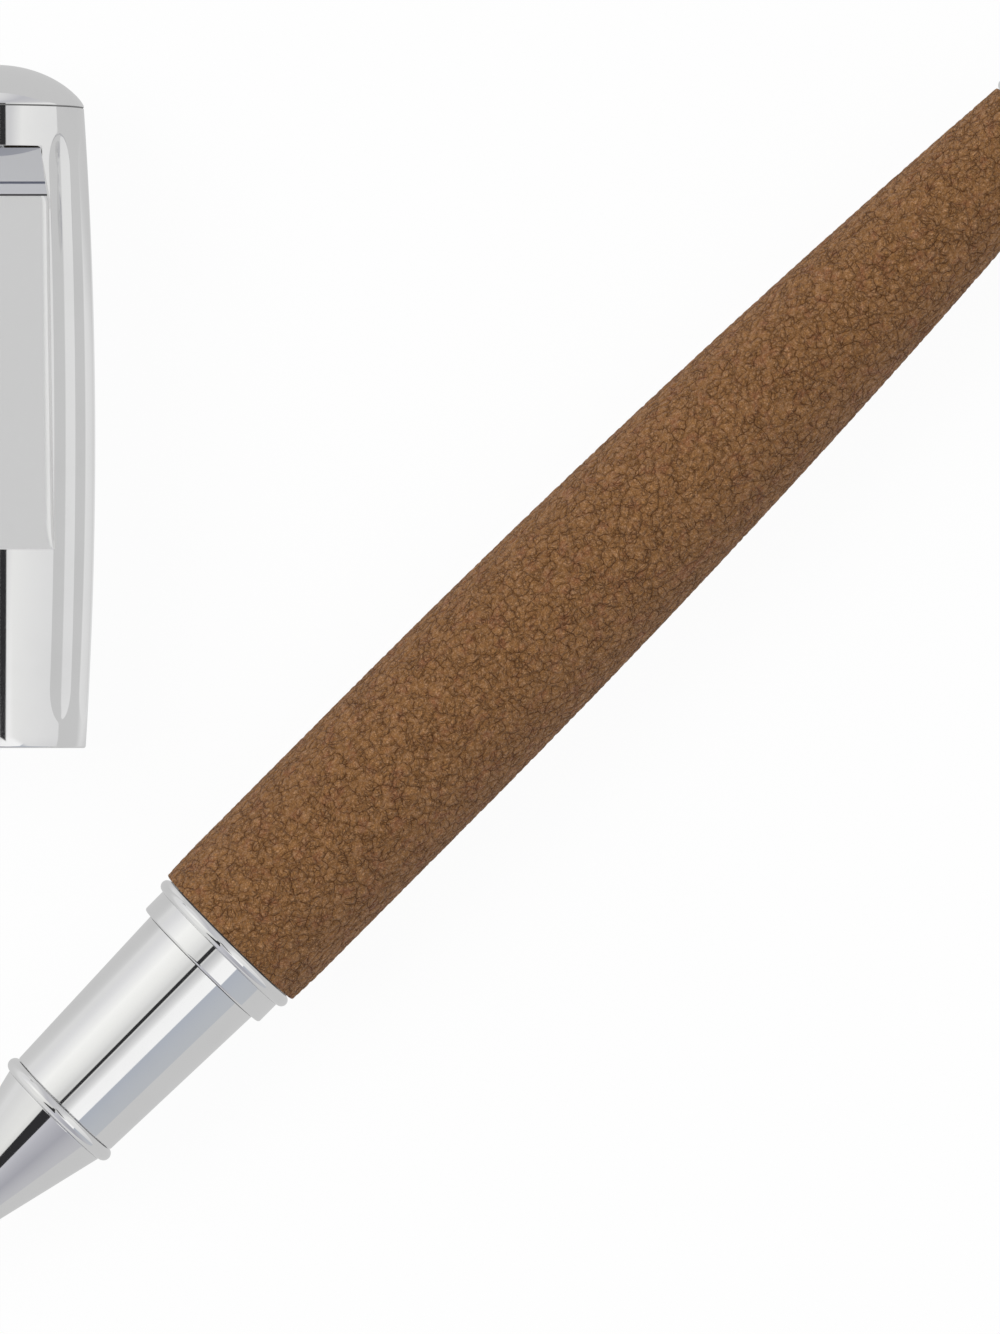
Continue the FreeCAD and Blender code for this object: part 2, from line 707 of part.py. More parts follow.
def make_cap_shell():
    """The shell with eight flutes, two pairs on each side of the clip and of the back."""
    cutter = make_flute_cutter()
    shell = make_shell_blank()
    angles = []
    for side in ("", "-"):
        for flute in ("flute_first_angle", "flute_second_angle"):
            angles += [f"{side}{flute}", f"{side}(180 - {flute})"]
    copies = []
    for number, angle in enumerate(angles, start=1):
        copy = doc.addObject("Part::Compound", f"Flute{number}")
        copy.Links = [cutter]
        copy.Placement = FreeCAD.Placement(FreeCAD.Vector(), FreeCAD.Rotation(FreeCAD.Vector(1, 0, 0), 1))
        copy.setExpression("Placement.Rotation.Angle", bound(angle))
        copies.append(copy)
    flutes = doc.addObject("Part::Compound", "Flutes")
    flutes.Links = copies
    fluted = doc.addObject("Part::Cut", "cap_shell_cut")
    fluted.Base = shell
    fluted.Tool = flutes
    fluted.Label = "cap_shell"
    lay_on_cap(fluted)
    sub_parts.append(fluted)


def make_cap_crown():
    """Domed top that a stud draws down onto the shell."""
    edge = on_belly("cap_length")
    under = "(cap_length + seam)"
    dome = "(crown_height - crown_rim)"
    turned_piece("cap_crown", [
        (f"{under} + crown_stud_into_crown + seam", "0"),
        (f"{under} + crown_stud_into_crown + seam", "crown_stud_radius + fixed_gap"),
        (under, "crown_stud_radius + fixed_gap"),
        (under, edge),
        (f"{under} + crown_rim", edge, arc_for_rise(f"2 * {edge}", dome), LEFT),
        (f"{under} + crown_height", "0"),
    ], on_cap=True)


def make_crown_stud():
    low = f"{BLOCK_TOP} - crown_stud_into_block"
    high = "cap_length + seam + crown_stud_into_crown"
    turned_piece("crown_stud", [
        (low, "0"),
        (low, "crown_stud_radius"),
        (high, "crown_stud_radius"),
        (high, "0"),
    ], on_cap=True)


def make_cap_liner():
    """Plastic liner with the lip that snaps behind the section's ring."""
    lip_end = "(liner_lip_place + liner_lip_length)"
    ramp = "(liner_bore_radius - liner_lip_radius)"
    outside = "cap_bore_radius - fixed_gap"
    turned_piece("cap_liner", [
        ("liner_start", "liner_bore_radius"),
        ("liner_start", outside),
        (LINER_END, outside),
        (LINER_END, LINER_SEAT),
        (f"{lip_end} + {ramp}", LINER_SEAT),
        (lip_end, "liner_lip_radius"),
        ("liner_lip_place", "liner_lip_radius"),
        (f"liner_lip_place - {ramp}", "liner_bore_radius"),
    ], on_cap=True)


def make_tip_seal():
    """Soft cup in the liner's closed end that keeps the tip from drying."""
    mouth = f"{LINER_END} - seal_length"
    floor = f"{LINER_END} - seal_floor"
    turned_piece("tip_seal", [
        (mouth, "seal_bore_radius + 0.8"),
        (mouth, f"{LINER_SEAT} - fixed_gap"),
        (LINER_END, f"{LINER_SEAT} - fixed_gap"),
        (LINER_END, "0"),
        (floor, "0"),
        (floor, "seal_bore_radius"),
        (f"{mouth} + 0.8", "seal_bore_radius"),
    ], on_cap=True)


def make_clip_block():
    """Brass block under the crown, slotted for the clip's tongue and bored for its pin."""
    body = new_body("clip_block")
    stud_floor = f"{BLOCK_TOP} - crown_stud_into_block - seam"
    turn(body, [
        (BLOCK_BOTTOM, "0"),
        (BLOCK_BOTTOM, "cap_bore_radius - fixed_gap"),
        (BLOCK_TOP, "cap_bore_radius - fixed_gap"),
        (BLOCK_TOP, "crown_stud_radius + fixed_gap"),
        (stud_floor, "crown_stud_radius + fixed_gap"),
        (stud_floor, "0"),
    ])
    slot_front = f"{BLOCK_BOTTOM} + block_slot_front"
    slot_back = f"{BLOCK_TOP} - block_slot_back"
    flat = new_sketch(body, "Flat", "XZ_Plane")
    draw_rectangle(flat, slot_front, "block_flat", slot_back, "cap_bore_radius + 1")
    pocket(body, flat, "cap_bore_radius", both_ways=True)
    slot = new_sketch(body, "Slot", "XZ_Plane")
    draw_rectangle(slot, slot_front, "block_slot_floor", slot_back, "cap_bore_radius + 1")
    pocket(body, slot, "tongue_half_width + running_gap", both_ways=True)
    pin_hole = new_sketch(body, "PinHole", "XZ_Plane")
    draw_circle(pin_hole, PIN_PLACE, "pin_height", "pin_radius + fixed_gap")
    pocket(body, pin_hole, "cap_bore_radius", both_ways=True)
    lay_on_cap(body)
    sub_parts.append(body)


def make_clip_pin():
    body = new_body("clip_pin")
    sketch = new_sketch(body, "Round", "XZ_Plane")
    draw_circle(sketch, PIN_PLACE, "pin_height", "pin_radius")
    pad_both_ways(body, sketch, "pin_half_length")
    lay_on_cap(body)
    sub_parts.append(body)


def make_clip_spring():
    """Small coil under the clip's heel that holds the clip's free end down on the shell."""
    seat = "(block_slot_floor + seam)"
    coil = coil_spring("clip_spring", "XZ_Plane", "V_Axis", "clip_spring_wire / 2",
                       f"{HEEL_UNDER} - seam - {seat} - clip_spring_wire",
                       "clip_spring_radius - clip_spring_wire / 2", "clip_spring_wire", "clip_spring_pitch")
    lay_on_cap(coil, along=f"{HEEL_END} - clip_spring_radius", up=seat)


def make_clip():
    """Wide flat clip: a sloped root in the window, a small ridge and step, and a long bevelled panel."""
    body = new_body("clip")
    pad_top = f"{on_belly(CLIP_END)} + clip_pad_gap"
    panel_end_top = f"{PANEL_TOP} - clip_panel_drop"
    root_bottom = f"({CLIP_ROOT} - clip_root_length)"
    side = new_sketch(body, "Side", "XZ_Plane")
    draw_outline(side, [
        (CLIP_ROOT, "clip_root_shoulder"),
        (SLOPE_END, "clip_slope_top"),
        (RIDGE_END, "clip_ridge_top"),
        (PANEL_START, PANEL_TOP),
        (CLIP_END, panel_end_top),
        (CLIP_END, pad_top),
        (f"{CLIP_END} + clip_pad_length", pad_top),
        (f"{CLIP_END} + 2 * clip_pad_length", f"{panel_end_top} - clip_thickness"),
        (root_bottom, f"{PANEL_TOP} - clip_thickness"),
        (root_bottom, "clip_root_shoulder"),
    ])
    pad_both_ways(body, side, "clip_half_width")
    for direction in ("", "-"):
        taper = new_sketch(body, "Taper")
        draw_outline(taper, [
            (f"{CLIP_ROOT} - clip_taper_length", f"{direction}clip_half_width"),
            (CLIP_ROOT, f"{direction}clip_root_half_width"),
            (f"{CLIP_ROOT} + 1", f"{direction}clip_root_half_width"),
            (f"{CLIP_ROOT} + 1", f"{direction}(clip_half_width + 1)"),
            (f"{CLIP_ROOT} - clip_taper_length", f"{direction}(clip_half_width + 1)"),
        ])
        pocket(body, taper, "clip_ridge_top + 1", flip=True)
    bevel_panel(body)
    root = new_sketch(body, "Root", "XZ_Plane")
    draw_rectangle(root, root_bottom, "clip_root_depth", CLIP_ROOT, "clip_root_shoulder")
    pad_both_ways(body, root, "clip_root_half_width")
    hollow_root(body)
    tongue = new_sketch(body, "Tongue", "XZ_Plane")
    eye_front = f"{PIN_PLACE} - tongue_eye_radius"
    draw_outline(tongue, [
        (eye_front, "clip_root_depth + 0.5"),
        (eye_front, f"{HEEL_UNDER} + 0.2"),
        (f"{eye_front} + 0.5", HEEL_UNDER),
        (HEEL_END, HEEL_UNDER),
        (HEEL_END, f"{HEEL_UNDER} + tongue_heel_thickness"),
        (f"{CLIP_ROOT} - clip_root_hollow", "clip_root_depth"),
        (f"{CLIP_ROOT} - clip_root_hollow", "clip_root_depth + 0.5"),
    ])
    pad_both_ways(body, tongue, "tongue_half_width")
    eye = new_sketch(body, "Eye", "XZ_Plane")
    draw_circle(eye, PIN_PLACE, "pin_height", "pin_radius + running_gap")
    pocket(body, eye, "clip_half_width", both_ways=True)
    lay_on_cap(body)
    sub_parts.append(body)


def hollow_root(body):
    """Hollow the root's end face, seen from above, so that a lens-shaped gap is left before the window's edge."""
    hollow = new_sketch(body, "Hollow")
    outer = f"{CLIP_ROOT} + 1"
    bend = arc_for_rise("2 * clip_root_half_width", "clip_root_hollow")
    draw_outline(hollow, [
        (CLIP_ROOT, "-clip_root_half_width", bend, LEFT),
        (CLIP_ROOT, "clip_root_half_width"),
        (outer, "clip_root_half_width"),
        (outer, "-clip_root_half_width"),
    ])
    pocket(body, hollow, "clip_ridge_top + 1", flip=True)


def bevel_panel(body):
    """Bevel the panel's two long upper edges and the upper edge of its free end."""
    doc.recompute()
    end_height = value(f"{PANEL_TOP} - clip_panel_drop")
    start_height = value(PANEL_TOP)
    free_end = value(CLIP_END)
    start = value(PANEL_START)
    edges = []
    for number, edge in enumerate(body.Shape.Edges, start=1):
        corners = [vertex.Point for vertex in edge.Vertexes]
        heights = [start_height if abs(corner.x - start) < 0.5 else end_height for corner in corners]
        on_panel = all(abs(corner.z - height) < 0.02 for corner, height in zip(corners, heights))
        at_end = all(abs(corner.x - free_end) < 0.02 for corner in corners)
        reach = abs(corners[0].x - corners[1].x)
        along = abs(corners[0].y - corners[1].y) < 0.02 and reach > (start - free_end) / 2
        if on_panel and (at_end or along):
            edges.append(f"Edge{number}")
    chamfer = body.newObject("PartDesign::Chamfer", "Bevel")
    chamfer.Base = (body.Tip if body.Tip != chamfer else chamfer.BaseFeature, edges)
    chamfer.setExpression("Size", bound("clip_bevel"))
    return chamfer


# --- Build and write ----------------------------------------------------------------------------------

def check_document():
    """Stop if any object failed, or if any sub-part is missing, broken or not one solid."""
    for item in doc.Objects:
        if "Invalid" in item.State or "Error" in item.State:
            raise RuntimeError(f"{item.Label} failed: {item.State}")
    for piece in sub_parts:
        if piece.Shape.isNull() or not piece.Shape.isValid():
            raise RuntimeError(f"{piece.Label} has no valid shape")
        if len(piece.Shape.Solids) != 1:
            raise RuntimeError(f"{piece.Label} has {len(piece.Shape.Solids)} solids")


def main():
    fill_sheet()
    make_barrel_tube()
    make_leather_sleeve()
    make_barrel_collar()
    make_thread_bush()
    make_tail_plug()
    make_tail_ring()
    make_tail_finial()
    make_refill_spring()
    make_grip_section()
    make_section_sleeve()
    make_section_ring()
    make_nose_cone()
    make_refill_tube()
    make_refill_holder()
    make_refill_tip()
    make_writing_ball()
    make_ink_feed()
    make_ink_reservoir()
    make_refill_plug()
    make_cap_shell()
    make_cap_crown()
    make_crown_stud()
    make_cap_liner()
    make_tip_seal()
    make_clip_block()
    make_clip_pin()
    make_clip_spring()
    make_clip()
    doc.recompute()
    check_document()
    os.makedirs("parts", exist_ok=True)
    for piece in sub_parts:
        piece.Shape.exportStep(f"parts/{piece.Label}.step")
        print(f"{piece.Label}: {piece.Shape.Volume:.2f} mm3")


main()
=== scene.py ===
"""Uncapped rollerball pen: leather-covered barrel, chrome writing section and nose, and the fluted cap beside it.

The file is laid out as an add-on. Run as a script, it dresses the packed CAD frame piece by piece.
X runs from the writing tip to the tail, Z is up, and every length is in metres.
"""
import json
import math

import bmesh
import bpy
from bpy.props import FloatProperty, FloatVectorProperty, IntProperty, PointerProperty
from mathutils import Matrix, Vector


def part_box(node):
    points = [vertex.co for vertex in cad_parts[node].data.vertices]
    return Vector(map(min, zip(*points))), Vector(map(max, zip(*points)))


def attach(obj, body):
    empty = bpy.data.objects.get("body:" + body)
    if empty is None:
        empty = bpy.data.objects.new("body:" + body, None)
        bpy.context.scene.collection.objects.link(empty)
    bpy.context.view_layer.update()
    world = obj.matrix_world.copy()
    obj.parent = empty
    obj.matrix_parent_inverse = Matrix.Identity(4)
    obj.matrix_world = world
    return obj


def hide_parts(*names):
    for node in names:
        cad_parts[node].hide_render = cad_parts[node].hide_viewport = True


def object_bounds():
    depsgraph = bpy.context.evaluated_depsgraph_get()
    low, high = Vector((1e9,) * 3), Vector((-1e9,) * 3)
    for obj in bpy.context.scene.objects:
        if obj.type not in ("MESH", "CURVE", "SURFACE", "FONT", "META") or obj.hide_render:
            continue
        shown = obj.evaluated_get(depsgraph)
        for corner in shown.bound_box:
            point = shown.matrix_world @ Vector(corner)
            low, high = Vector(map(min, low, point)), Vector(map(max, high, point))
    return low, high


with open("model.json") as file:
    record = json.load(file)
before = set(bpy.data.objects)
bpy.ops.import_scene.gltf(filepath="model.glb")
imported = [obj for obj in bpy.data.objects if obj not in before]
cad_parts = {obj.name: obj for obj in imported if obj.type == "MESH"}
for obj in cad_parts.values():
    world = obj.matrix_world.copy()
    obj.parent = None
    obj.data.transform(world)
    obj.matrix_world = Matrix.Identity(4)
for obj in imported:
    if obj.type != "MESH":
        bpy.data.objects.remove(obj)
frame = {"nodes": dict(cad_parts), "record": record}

bl_info = {
    "name": "Rollerball Pen",
    "version": (1, 0, 0),
    "blender": (4, 5, 0),
    "location": "View3D > Sidebar > Pen",
    "description": "Builds a leather-covered rollerball pen, its cap and a small studio",
    "category": "Object",
}

MM = 0.001
CAD_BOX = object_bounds()
MOUNTS = {mount["name"]: mount for mount in frame["record"]["mounts"]}
LINER_START = 2.05 * MM  # from the cap's mouth to where its bore mount begins
ON_PLANE = 1e-8  # how near a cutting plane a vertex counts as lying on it


# --- Settings -----------------------------------------------------------------------------------------

def length(name, description, millimetres):
    """A length setting, given in millimetres and kept in metres."""
    return FloatProperty(name=name, description=description, default=millimetres * MM, min=0.0,
                         precision=5, unit="LENGTH", subtype="DISTANCE")


def angle(name, description, degrees):
    """An angle setting, given in degrees and kept in radians."""
    return FloatProperty(name=name, description=description, default=math.radians(degrees),
                         unit="ROTATION", subtype="ANGLE")


def factor(name, description, default, high=1.0):
    """A plain number setting from 0 up to high."""
    return FloatProperty(name=name, description=description, default=default, min=0.0, max=high,
                         subtype="FACTOR")


def colour(name, description, red, green, blue):
    """A colour setting, given as a screen shows it (0 to 255) and kept as linear light."""
    linear = []
    for level in (red, green, blue):
        level /= 255
        linear.append(level / 12.92 if level <= 0.04045 else ((level + 0.055) / 1.055) ** 2.4)
    return FloatVectorProperty(name=name, description=description, default=linear, size=3,
                               min=0.0, max=1.0, subtype="COLOR")


class PenBarrelSettings(bpy.types.PropertyGroup):
    """The leather sleeve, the collar in front of it and the tail behind it."""
    leather_radius: length("Leather radius", "Radius of the barrel over its leather", 6.63)
    edge_radius: length("Edge radius", "Radius of the leather where it is rolled down to the collar", 6.52)
    edge_run: length("Edge run", "Length over which the leather rises from its front edge", 3.5)
    straight: length("Straight length", "Distance from the front edge to the start of the taper", 18.5)
    tail_radius: length("Tail radius", "Radius of the leather at the tail", 4.07)
    thickness: length("Leather thickness", "Thickness of the leather with its glue", 0.85)
    edge_round: length("Edge rounding", "Rounding of the leather's cut edges", 0.14)
    grid: length("Leather grid", "Size of the mesh squares that carry the grain", 0.21)
    pebble: length("Pebble size", "Distance between the grain's pebbles", 0.78)
    relief: length("Pebble relief", "Height of the pebbles over the creases between them", 0.06)
    band_radius: length("Band radius", "Radius of the band that the cap's mouth slides over", 5.93)
    band_end: length("Band end", "Place along the pen where the band meets the bead", 0.95)
    bead_radius: length("Bead radius", "Radius of the bead that stops the cap", 6.44)
    bead_rise: length("Bead rise", "Height of the bead's rounded back", 0.46)
    band_round: length("Band rounding", "Rounding of the band's front edge", 0.2)
    seam: length("Leather seam", "Gap left between the bead and the leather", 0.12)
    spigot_radius: length("Spigot radius", "Radius of the collar inside the barrel tube", 5.22)
    bore_radius: length("Collar bore", "Radius of the bore that the section screws into", 4.66)
    ring_rise: length("Ring rise", "Height of the tail ring's rounded back", 0.4)
    stud_radius: length("Stud radius", "Radius of the stud that holds the tail together", 1.2)
    finial_radius: length("Finial radius", "Radius of the finial where it meets its ring", 3.85)
    finial_end_radius: length("Finial end radius", "Radius of the finial at the foot of its dome", 1.9)
    finial_dome: length("Finial dome", "Height of the small dome on the finial", 0.9)


class PenSectionSettings(bpy.types.PropertyGroup):
    """The chrome writing section, its ring, the nose cone and the thread behind them."""
    rear_radius: length("Rear radius", "Radius of the section at the collar", 5.28)
    front_radius: length("Front radius", "Radius of the section at its ring", 4.77)
    bore_radius: length("Section bore", "Radius of the bore through the section", 3.9)
    shank_radius: length("Shank bore", "Radius of the counterbore that the sleeve's shank is pressed into", 4.33)
    shank_depth: length("Shank depth", "Depth of that counterbore", 5.05)
    ring_radius: length("Ring radius", "Radius of the ring behind the nose", 5.16)
    ring_rise: length("Ring rise", "Height of the ring's rounded back", 0.44)
    nose_rear_radius: length("Nose rear radius", "Radius of the nose cone at the ring", 4.63)
    nose_front_radius: length("Nose front radius", "Radius of the nose cone at the tip", 1.15)
    nose_hole_radius: length("Nose hole", "Radius of the hole that the tip comes out of", 0.85)
    nose_bore_radius: length("Nose bore", "Radius of the bore for the refill's front", 3.2)
    nose_bore_depth: length("Nose bore depth", "Depth of the nose's straight bore, in front of its spigot's end", 7.8)
    thread_radius: length("Thread radius", "Radius over the thread's crests", 4.6)
    thread_depth: length("Thread depth", "Depth of the thread", 0.3)
    thread_pitch: length("Thread pitch", "How far the thread runs on in one turn", 0.75)
    sleeve_bore: length("Sleeve bore", "Radius of the bore through the threaded sleeve", 3.4)


class PenCapSettings(bpy.types.PropertyGroup):
    """The cap's shell with its flutes and window, and the crown."""
    length: length("Shell length", "Length of the shell without the crown", 47.4)
    mouth_radius: length("Mouth radius", "Radius of the shell at its mouth", 6.65)
    belly_radius: length("Belly radius", "Largest radius of the shell", 7.36)
    belly_place: length("Belly place", "Distance from the mouth to the largest radius", 22.6)
    bore_radius: length("Bore radius", "Radius of the shell's bore", 6.0)
    lip_round: length("Lip rounding", "Rounding of the mouth's edges", 0.15)
    flute_width: length("Flute width", "Width of a flute", 2.25)
    flute_depth: length("Flute depth", "Depth of a flute", 0.17)
    flute_from_mouth: length("Flute from mouth", "Distance from the mouth to the flutes' ends", 1.9)
    flute_from_crown: length("Flute from crown", "Distance from the crown to the flutes' ends", 2.0)
    flute_end: length("Flute end", "Length over which a flute runs out at its ends", 2.6)
    first_flute: angle("First flute", "Angle from the clip to the middle of the nearest flute", 47.5)
    second_flute: angle("Second flute", "Angle from the clip to the middle of the next flute", 76.0)
    window_start: length("Window start", "Distance from the mouth to the clip's window", 39.5)
    window_end: length("Window end", "Distance from the mouth to the window's far edge", 44.42)
    window_half_width: length("Window half width", "Half the width of the clip's window", 3.7)
    seam: length("Seam", "Gap between the shell and the crown", 0.06)
    crown_rim: length("Crown rim", "Height of the crown's straight rim", 0.05)
    crown_fullness: factor("Crown fullness", "How far the crown's curve fills out from an arc to an ellipse", 0.3)
    crown_height: length("Crown height", "Height of the crown over the shell", 3.15)
    stud_radius: length("Stud hole radius", "Radius of the hole for the crown's stud", 1.33)
    stud_depth: length("Stud hole depth", "Depth of that hole", 1.75)


class PenClipSettings(bpy.types.PropertyGroup):
    """The wide flat clip."""
    root: length("Root", "Distance from the mouth to the foot of the clip's slope", 44.18)
    root_reach: length("Root reach", "How far the root's lower edge stands out from the foot", 0.08)
    root_length: length("Root length", "Length of the root in the window", 4.45)
    root_depth: length("Root depth", "Height of the root's underside over the cap's axis", 5.3)
    root_shoulder: length("Root shoulder", "Height of the foot of the slope over the axis", 6.15)
    root_half_width: length("Root half width", "Half the clip's width at its root", 3.62)
    root_hollow: length("Root hollow", "How far the foot of the slope is drawn back in an arc", 0.62)
    half_width: length("Half width", "Half the clip's width at the ridge", 4.34)
    flare: factor("Flare", "How much wider than the ridge the clip is at its free end", 0.085)
    taper: length("Taper length", "Length over which the clip widens from its root", 4.0)
    slope_length: length("Slope length", "Length of the slope up from the root", 2.64)
    slope_top: length("Slope top", "Height of the slope's top over the axis", 9.2)
    ridge_length: length("Ridge length", "Length of the ridge above the slope", 0.98)
    ridge_top: length("Ridge top", "Height of the ridge over the axis", 9.5)
    step: length("Step", "Height of the step down to the panel", 0.15)
    panel_length: length("Panel length", "Length of the flat panel", 25.95)
    panel_drop: length("Panel drop", "How far the panel falls towards its free end", 0.6)
    thickness: length("Panel thickness", "Thickness of the panel", 1.15)
    bevel: length("Panel bevel", "Width of the bevel along the panel's edges", 0.6)
    bevel_fade: length("Bevel fade", "Length over which the bevels run out at the free end", 2.4)
    groove: length("Seam and groove shade", "Half the width of the groove between slope and ridge", 0.09)
    pad_length: length("Pad length", "Length of the pad that holds the cloth", 1.4)
    pad_gap: length("Pad gap", "Gap between the pad and the shell", 0.1)
    tongue_half_width: length("Tongue half width", "Half the width of the tongue inside the cap", 1.6)
    pin_place: length("Pin place", "Distance from the mouth to the hinge pin", 42.4)
    pin_height: length("Pin height", "Height of the hinge pin over the axis", 4.0)
    eye_radius: length("Eye radius", "Radius of the eye round the hinge pin", 1.2)
    edge_round: length("Edge rounding", "Rounding of the clip's crisp edges", 0.05)


class PenFinishSettings(bpy.types.PropertyGroup):
    """Colours and finishes."""
    leather: colour("Leather", "Tops of the grain's pebbles", 183, 132, 80)
    leather_red: colour("Leather, red", "Warmer patches in the hide", 178, 118, 82)
    # Painted highlight: lighter specks mixed in by the mottle, which also raises the grain, so they sit on the
    # pebbles' tops.
    leather_painted_highlight: colour("Leather, painted highlight", "Lighter specks on the tops of the pebbles", 219, 170, 127)
    # The creases, the hollows round them, the pores and the seam are drawn darker with this colour.
    leather_crease: colour("Leather crease", "Dye gathered in the creases", 76, 41, 9)
    leather_core: colour("Leather core", "Undyed inner side of the leather", 170, 138, 104)
    chrome: colour("Chrome", "Polished chrome plate", 243, 243, 243)
    chrome_roughness: factor("Chrome roughness", "Roughness of the polished plate", 0.035)
    cap_roughness: factor("Cap roughness", "Roughness of the cap's plate, a little softer than the section's", 0.05)
    clip_chrome: colour("Clip chrome", "Satin chrome plate of the clip", 250, 250, 249)
    # Painted shade: the slope and ridge are the clip's own chrome, drawn darker than the panel as shade.
    clip_slope_shade: colour("Clip slope shade", "Chrome plate of the clip's slope and ridge", 216, 217, 220)
    # Painted shade: used on the end face of the clip's root and in the groove between slope and ridge.
    clip_root_shade: colour("Clip root shade", "Chrome in the shade of the clip's root", 178, 181, 192)
    # Painted shade: this dark colour goes on seams, the clip's step and other narrow gaps, and stands in for the
    # shade that falls in them.
    groove: colour("Seam and groove shade", "Dark line left in seams and grooves", 88, 88, 88)
    brass: colour("Brass", "Turned brass", 214, 176, 104)
    # Painted shade: the brass block under the clip is darkened to stand for the shade it lies in below the window.
    brass_in_painted_shade: colour("Brass in painted shade", "Brass block under the clip, blackened", 46, 42, 36)
    spring_steel: colour("Spring steel", "Drawn spring wire", 176, 178, 182)
    refill_metal: colour("Refill metal", "Drawn tube of the refill", 200, 201, 203)
    refill_plastic: colour("Refill plastic", "Moulded parts of the refill", 38, 40, 46)
    tip_steel: colour("Tip steel", "Turned writing tip", 205, 204, 200)
    carbide: colour("Carbide", "Ground writing ball", 122, 124, 128)
    ink: colour("Ink", "Ink soaked into the fibre", 24, 34, 84)
    liner: colour("Liner plastic", "Moulded liner of the cap", 46, 46, 49)
    rubber: colour("Seal rubber", "Soft seal for the writing tip", 30, 30, 31)


class PenStageSettings(bpy.types.PropertyGroup):
    """Floor, light and camera."""
    floor: colour("Floor", "Pale paper under the pen", 250, 250, 250)
    floor_size: FloatProperty(name="Floor size", description="Side of the paper", default=30.0, min=1.0,
                              unit="LENGTH", subtype="DISTANCE")
    shadow: factor("Shadow", "How much of the shadow on the paper is kept for the camera", 0.05)
    light: factor("Light", "Level of the light round the object", 1.0, 4.0)
    camera_place: FloatVectorProperty(name="Camera place", description="Where the camera stands",
                                      default=(0.0405, -0.0188, 1.1), size=3, unit="LENGTH",
                                      subtype="TRANSLATION")
    camera_target: FloatVectorProperty(name="Camera target", description="Point in the middle of the view",
                                       default=(0.03034, -0.00007, 0.0), size=3, unit="LENGTH",
                                       subtype="TRANSLATION")
    camera_roll: angle("Camera turn", "Angle of the pen across the view", 45.18)
    lens: FloatProperty(name="Lens", description="Focal length in millimetres", default=400.8, min=1.0,
                        subtype="NONE")
    columns: IntProperty(name="Columns", description="Faces round a turned piece", default=192, min=16)


# --- Node trees ---------------------------------------------------------------------------------------

class Socket:
    """The output of a node. Arithmetic on it adds Math nodes, or Vector Math nodes for a vector."""

    def __init__(self, tree, output):
        self.tree = tree
        self.output = output

    def reckon(self, operation, *values):
        """Adds the node for an operation; whether it is a vector's goes by this socket."""
        kind = "ShaderNodeMath" if self.output.type == "VALUE" else "ShaderNodeVectorMath"
        return self.tree.add(kind, {"operation": operation}, dict(enumerate(values)))

    def __add__(self, other):
        return self.reckon("ADD", self, other)

    __radd__ = __add__

    def __sub__(self, other):
        return self.reckon("SUBTRACT", self, other)

    def __rsub__(self, other):
        return self.reckon("SUBTRACT", other, self)

    def __mul__(self, other):
        return self.reckon("MULTIPLY", self, other)

    __rmul__ = __mul__

    def __pow__(self, other):
        return self.reckon("POWER", self, other)

    def __abs__(self):
        return self.reckon("ABSOLUTE", self)

    def highest(self, other):
        return self.reckon("MAXIMUM", self, other)


class Tree:
    """The nodes of a material, of the world or of a geometry modifier."""

    def __init__(self, node_tree):
        self.nodes = node_tree.nodes
        self.links = node_tree.links
        self.nodes.clear()

    def add(self, kind, settings=None, inputs=None, output=0):
        """Adds a node, sets it up, feeds its sockets and returns the chosen output."""
        node = self.nodes.new(kind)
        for name, value in (settings or {}).items():
            if name == "stops":
                self.set_stops(node.color_ramp, value)
            else:
                setattr(node, name, value)
        for name, value in (inputs or {}).items():
            self.feed(node.inputs[name], value)
        return Socket(self, node.outputs[output]) if node.outputs else node

    def feed(self, socket, value):
        """Links an output to a socket, or sets the socket's own value."""
        if isinstance(value, Socket):
            self.links.new(value.output, socket)
        elif socket.type == "RGBA":
            socket.default_value = (*value[:3], 1.0)
        elif socket.type == "VECTOR" and isinstance(value, (int, float)):
            socket.default_value = (value, value, value)
        else:
            socket.default_value = value

    @staticmethod
    def set_stops(ramp, stops):
        """Sets a colour ramp from (place, colour) stops in rising order."""
        while len(ramp.elements) < len(stops):
            ramp.elements.new(0.5)
        for element, (place, _) in zip(ramp.elements, stops):
            element.position = place
        for element, (_, tone) in zip(ramp.elements, stops):
            element.color = (*tone, 1.0)

    def blend(self, amount, first, second):
        """A colour between two others."""
        return self.add("ShaderNodeMix", {"data_type": "RGBA"}, {0: amount, 6: first, 7: second}, output=2)

    def between(self, value, low, high, start=0.0, end=1.0):
        """Goes smoothly from start to end as the value goes from low to high."""
        return self.add("ShaderNodeMapRange", {"interpolation_type": "SMOOTHSTEP"}, {
            "Value": value, "From Min": low, "From Max": high, "To Min": start, "To Max": end})

    def noise(self, place, scale, detail=2.0, roughness=0.5, output=0):
        """Cloudy noise whose patches are about 1 / scale metres wide."""
        return self.add("ShaderNodeTexNoise", {"noise_dimensions": "3D"}, {
            "Vector": place, "Scale": scale, "Detail": detail, "Roughness": roughness}, output=output)

    def cells(self, place, size):
        """Flat cells of a size: how far a place is from the nearest edge, in units of that size."""
        return self.add("ShaderNodeTexVoronoi", {"voronoi_dimensions": "2D", "feature": "DISTANCE_TO_EDGE"}, {
            "Vector": place, "Scale": 1 / size}, output="Distance")

    def split(self, vector):
        """The three parts of a vector."""
        node = self.add("ShaderNodeSeparateXYZ", None, {0: vector}).output.node
        return [Socket(self, output) for output in node.outputs]

    def bump(self, height, distance):
        return self.add("ShaderNodeBump", None, {"Height": height, "Distance": distance, "Strength": 1.0})


